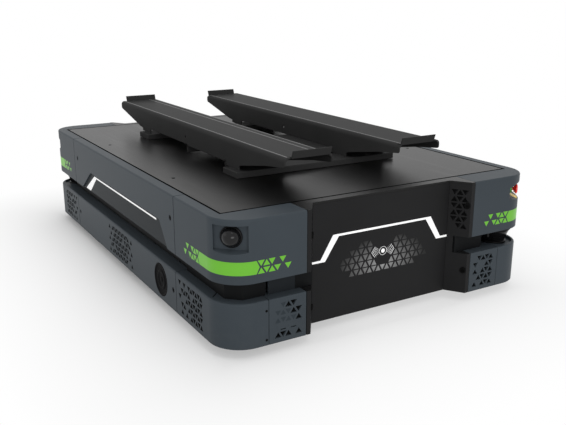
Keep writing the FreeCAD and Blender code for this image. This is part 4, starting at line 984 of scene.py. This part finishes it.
def makeFilters():
    # black foam that lies against the inner side of each field of vents
    look = filterPads
    low, high = look["low"], look["high"]
    outer, front = halfWidth - look["wall"] - look["play"], -(halfLength - look["frontWall"]) + look["play"]
    inner, back = outer - look["thick"], front + look["thick"]
    (start, end), (near, far), skirt = look["corner"], look["vent"], look["skirt"]
    pads = {"skirt": [((-outer, -skirt, low), (-inner, skirt, high))],
            "corner": [((-outer, start, low), (-inner, end, high)),
                       ((inner, start, low), (outer, end, high))],
            "vent": [((-far, front, low), (-near, back, high)),
                     ((near, front, low), (far, back, high))]}
    for word, boxes in pads.items():
        for number, corners in enumerate(boxes):
            newPair(f"{word}_filter_{number}" + "_{}", block(*corners), still, "infill_black", "filter_foam",
                    smooth=False)
    look = bayFilter
    for side, word in ((-1, "left"), (1, "right")):
        near, far, out = bayWall(side, look["near"], look["far"])
        reach = sorted((0.0, -side * (far - near).length))
        shape = block((reach[0], look["low"], 0.0), (reach[1], look["high"], look["thick"]))
        seat = facing(near - out * look["play"], -out)
        newPair("bay_filter_" + word + "_{}", shape, seat, "infill_black", "filter_foam", smooth=False)


ventFoam = {"step": 0.0155, "half": 0.0096, "tall": 0.0150, "rise": 0.0203, "low": 0.0430, "sunk": 0.0004,
            "thick": 0.0064, "up": 0, "rows": 5,
            # per field: the first column's place along the side, the number of columns, and which
            # (column, row) stay closed
            "skirt": (-0.1155, 15, ((1, 4), (13, 4), (0, 3), (5, 3), (12, 3), (14, 3), (1, 2), (13, 2),
                                    (0, 1), (2, 1), (11, 1), (14, 1), (1, 0), (2, 0), (13, 0))),
            "corner": (-0.650, 10, ((6, 4), (8, 4), (4, 3), (9, 3), (7, 2), (8, 2), (6, 1), (9, 1),
                                    (5, 0), (7, 0), (9, 0)))}


def makeVentFoam():
    # triangles of foam pressed into the vents of the skirts and of the corners' sides
    look = ventFoam
    for word, field, side in (("skirt", "skirt", -1), ("camera_corner", "corner", -1),
                              ("scanner_corner", "corner", 1)):
        first, columns, closed = look[field]
        cells = [(column, row) for row in range(look["rows"]) for column in range(columns)
                 if (column, row) not in closed]
        seat = facing((side * (halfWidth - look["sunk"]), 0.0, 0.0), leftwards * side)
        foam = lattice(look, cells, first, -side)
        newPair(word + "_foam_{}", foam, seat, "infill_black", "filter_foam", smooth=False)


makeFilters()
makeVentFoam()
print("filters made")


stage = {"colour": (0.82, 0.82, 0.82), "roughness": 0.9, "specular": 0.0, "size": 40.0, "fade": 0.50,
         # how much white replaces the paper: beside the object in its lee and on its lit side, and far away;
         # the lesser white near the object and in its lee paints its shadow darker and larger there
         "leeWhite": 0.10, "litWhite": 0.55, "farWhite": 1.0, "sky": 0.84}


def whiteRays(tree):
    # 1 for what the camera sees, also in a reflection or through glass, else 0
    rays = tree.nodes.new("ShaderNodeLightPath")
    seen, glossy, through = [Wire(tree, rays.outputs[f"Is {word} Ray"])
                             for word in ("Camera", "Glossy", "Transmission")]
    return seen.biggest(glossy).biggest(through)


def makeFloor():
    # pale paper that whitens with its distance from the object's box, and beside it more on the lit side: the
    # weaker white glow near the object and in its lee is painted shadow
    look = stage
    size = look["size"]
    mesh = bpy.data.meshes.new("floor")
    corners = [(-size, -size, 0), (size, -size, 0), (size, size, 0), (-size, size, 0)]
    mesh.from_pydata(corners, [], [(0, 1, 2, 3)])
    floor = bpy.data.objects.new("floor", mesh)
    bpy.context.scene.collection.objects.link(floor)
    paper = Finish("floor_paper", look)
    x, y = paper.axes()[:2]
    beside, ahead = (abs(x) - halfWidth).biggest(0.0), (abs(y) - halfLength).biggest(0.0)
    far = (beside * beside + ahead * ahead).power(0.5).ramp(0.0, look["fade"]).power(0.6)
    litSide = (x * 0.8 - y * 0.6).ramp(-0.4, 0.4)
    near = litSide * (look["litWhite"] - look["leeWhite"]) + look["leeWhite"]
    white = (far * (look["farWhite"] - near) + near) * whiteRays(paper.tree)
    glow = paper.node("ShaderNodeEmission", sockets={"Color": (1.0, 1.0, 1.0, 1.0), "Strength": 1.0})
    lit = Wire(paper.tree, paper.shader.outputs[0])
    both = paper.node("ShaderNodeMixShader", sockets={0: white, 1: lit, 2: glow})
    paper.tree.links.new(both.socket, paper.tree.nodes["Material Output"].inputs["Surface"])
    mesh.materials.append(paper.material)


def makeSky():
    # an even sky that lights the object and is itself seen as plain white
    world = bpy.data.worlds.new("studio")
    bpy.context.scene.world = world
    world.use_nodes = True
    tree = world.node_tree
    light, seen = tree.nodes["Background"], tree.nodes.new("ShaderNodeBackground")
    for background, strength in ((light, stage["sky"]), (seen, 1.0)):
        background.inputs["Color"].default_value = (1.0, 1.0, 1.0, 1.0)
        background.inputs["Strength"].default_value = strength
    choose = tree.nodes.new("ShaderNodeMixShader")
    for number, output in enumerate((whiteRays(tree).socket, light.outputs[0], seen.outputs[0])):
        tree.links.new(output, choose.inputs[number])
    tree.links.new(choose.outputs[0], tree.nodes["World Output"].inputs["Surface"])


lamps = {"top": {"where": (0.8, 1.6, 3.2), "size": (2.8, 2.0), "power": 12},
         "left": {"where": (-3.4, 0.4, 1.8), "size": (2.4, 1.6), "power": 4},
         "front": {"where": (-0.9, -4.1, 0.9), "size": (2.4, 1.2), "power": 26},
         "glint": {"where": (-0.35, -2.4, 2.8), "size": (0.3, 0.3), "power": 7}}
lampAim = Vector((0.0, 0.0, 0.3))


def makeLamps():
    # soft oval lamps, all turned to the object's middle
    for name, look in lamps.items():
        lamp = bpy.data.lights.new(name, "AREA")
        lamp.shape = "ELLIPSE"
        lamp.size, lamp.size_y = look["size"]
        lamp.energy = look["power"]
        thing = bpy.data.objects.new(f"{name}_lamp", lamp)
        bpy.context.scene.collection.objects.link(thing)
        thing.location = look["where"]
        thing.rotation_euler = (lampAim - Vector(look["where"])).to_track_quat("-Z", "Y").to_euler()


view = {"place": (-1.2387, -2.2737, 0.8789), "down": 16.23, "turn": 30.63, "lens": 46.66, "sensor": 36.0}


def makeCamera():
    lens = bpy.data.cameras.new("view")
    lens.sensor_width = view["sensor"]
    lens.lens = view["lens"]
    camera = bpy.data.objects.new("view", lens)
    bpy.context.scene.collection.objects.link(camera)
    camera.location = view["place"]
    camera.rotation_euler = (math.radians(90.0 - view["down"]), 0.0, -math.radians(view["turn"]))
    bpy.context.scene.camera = camera


makeFloor()
makeSky()
makeLamps()
makeCamera()
bpy.context.scene.view_settings.view_transform = "Standard"
print("stage, lamps and camera set")
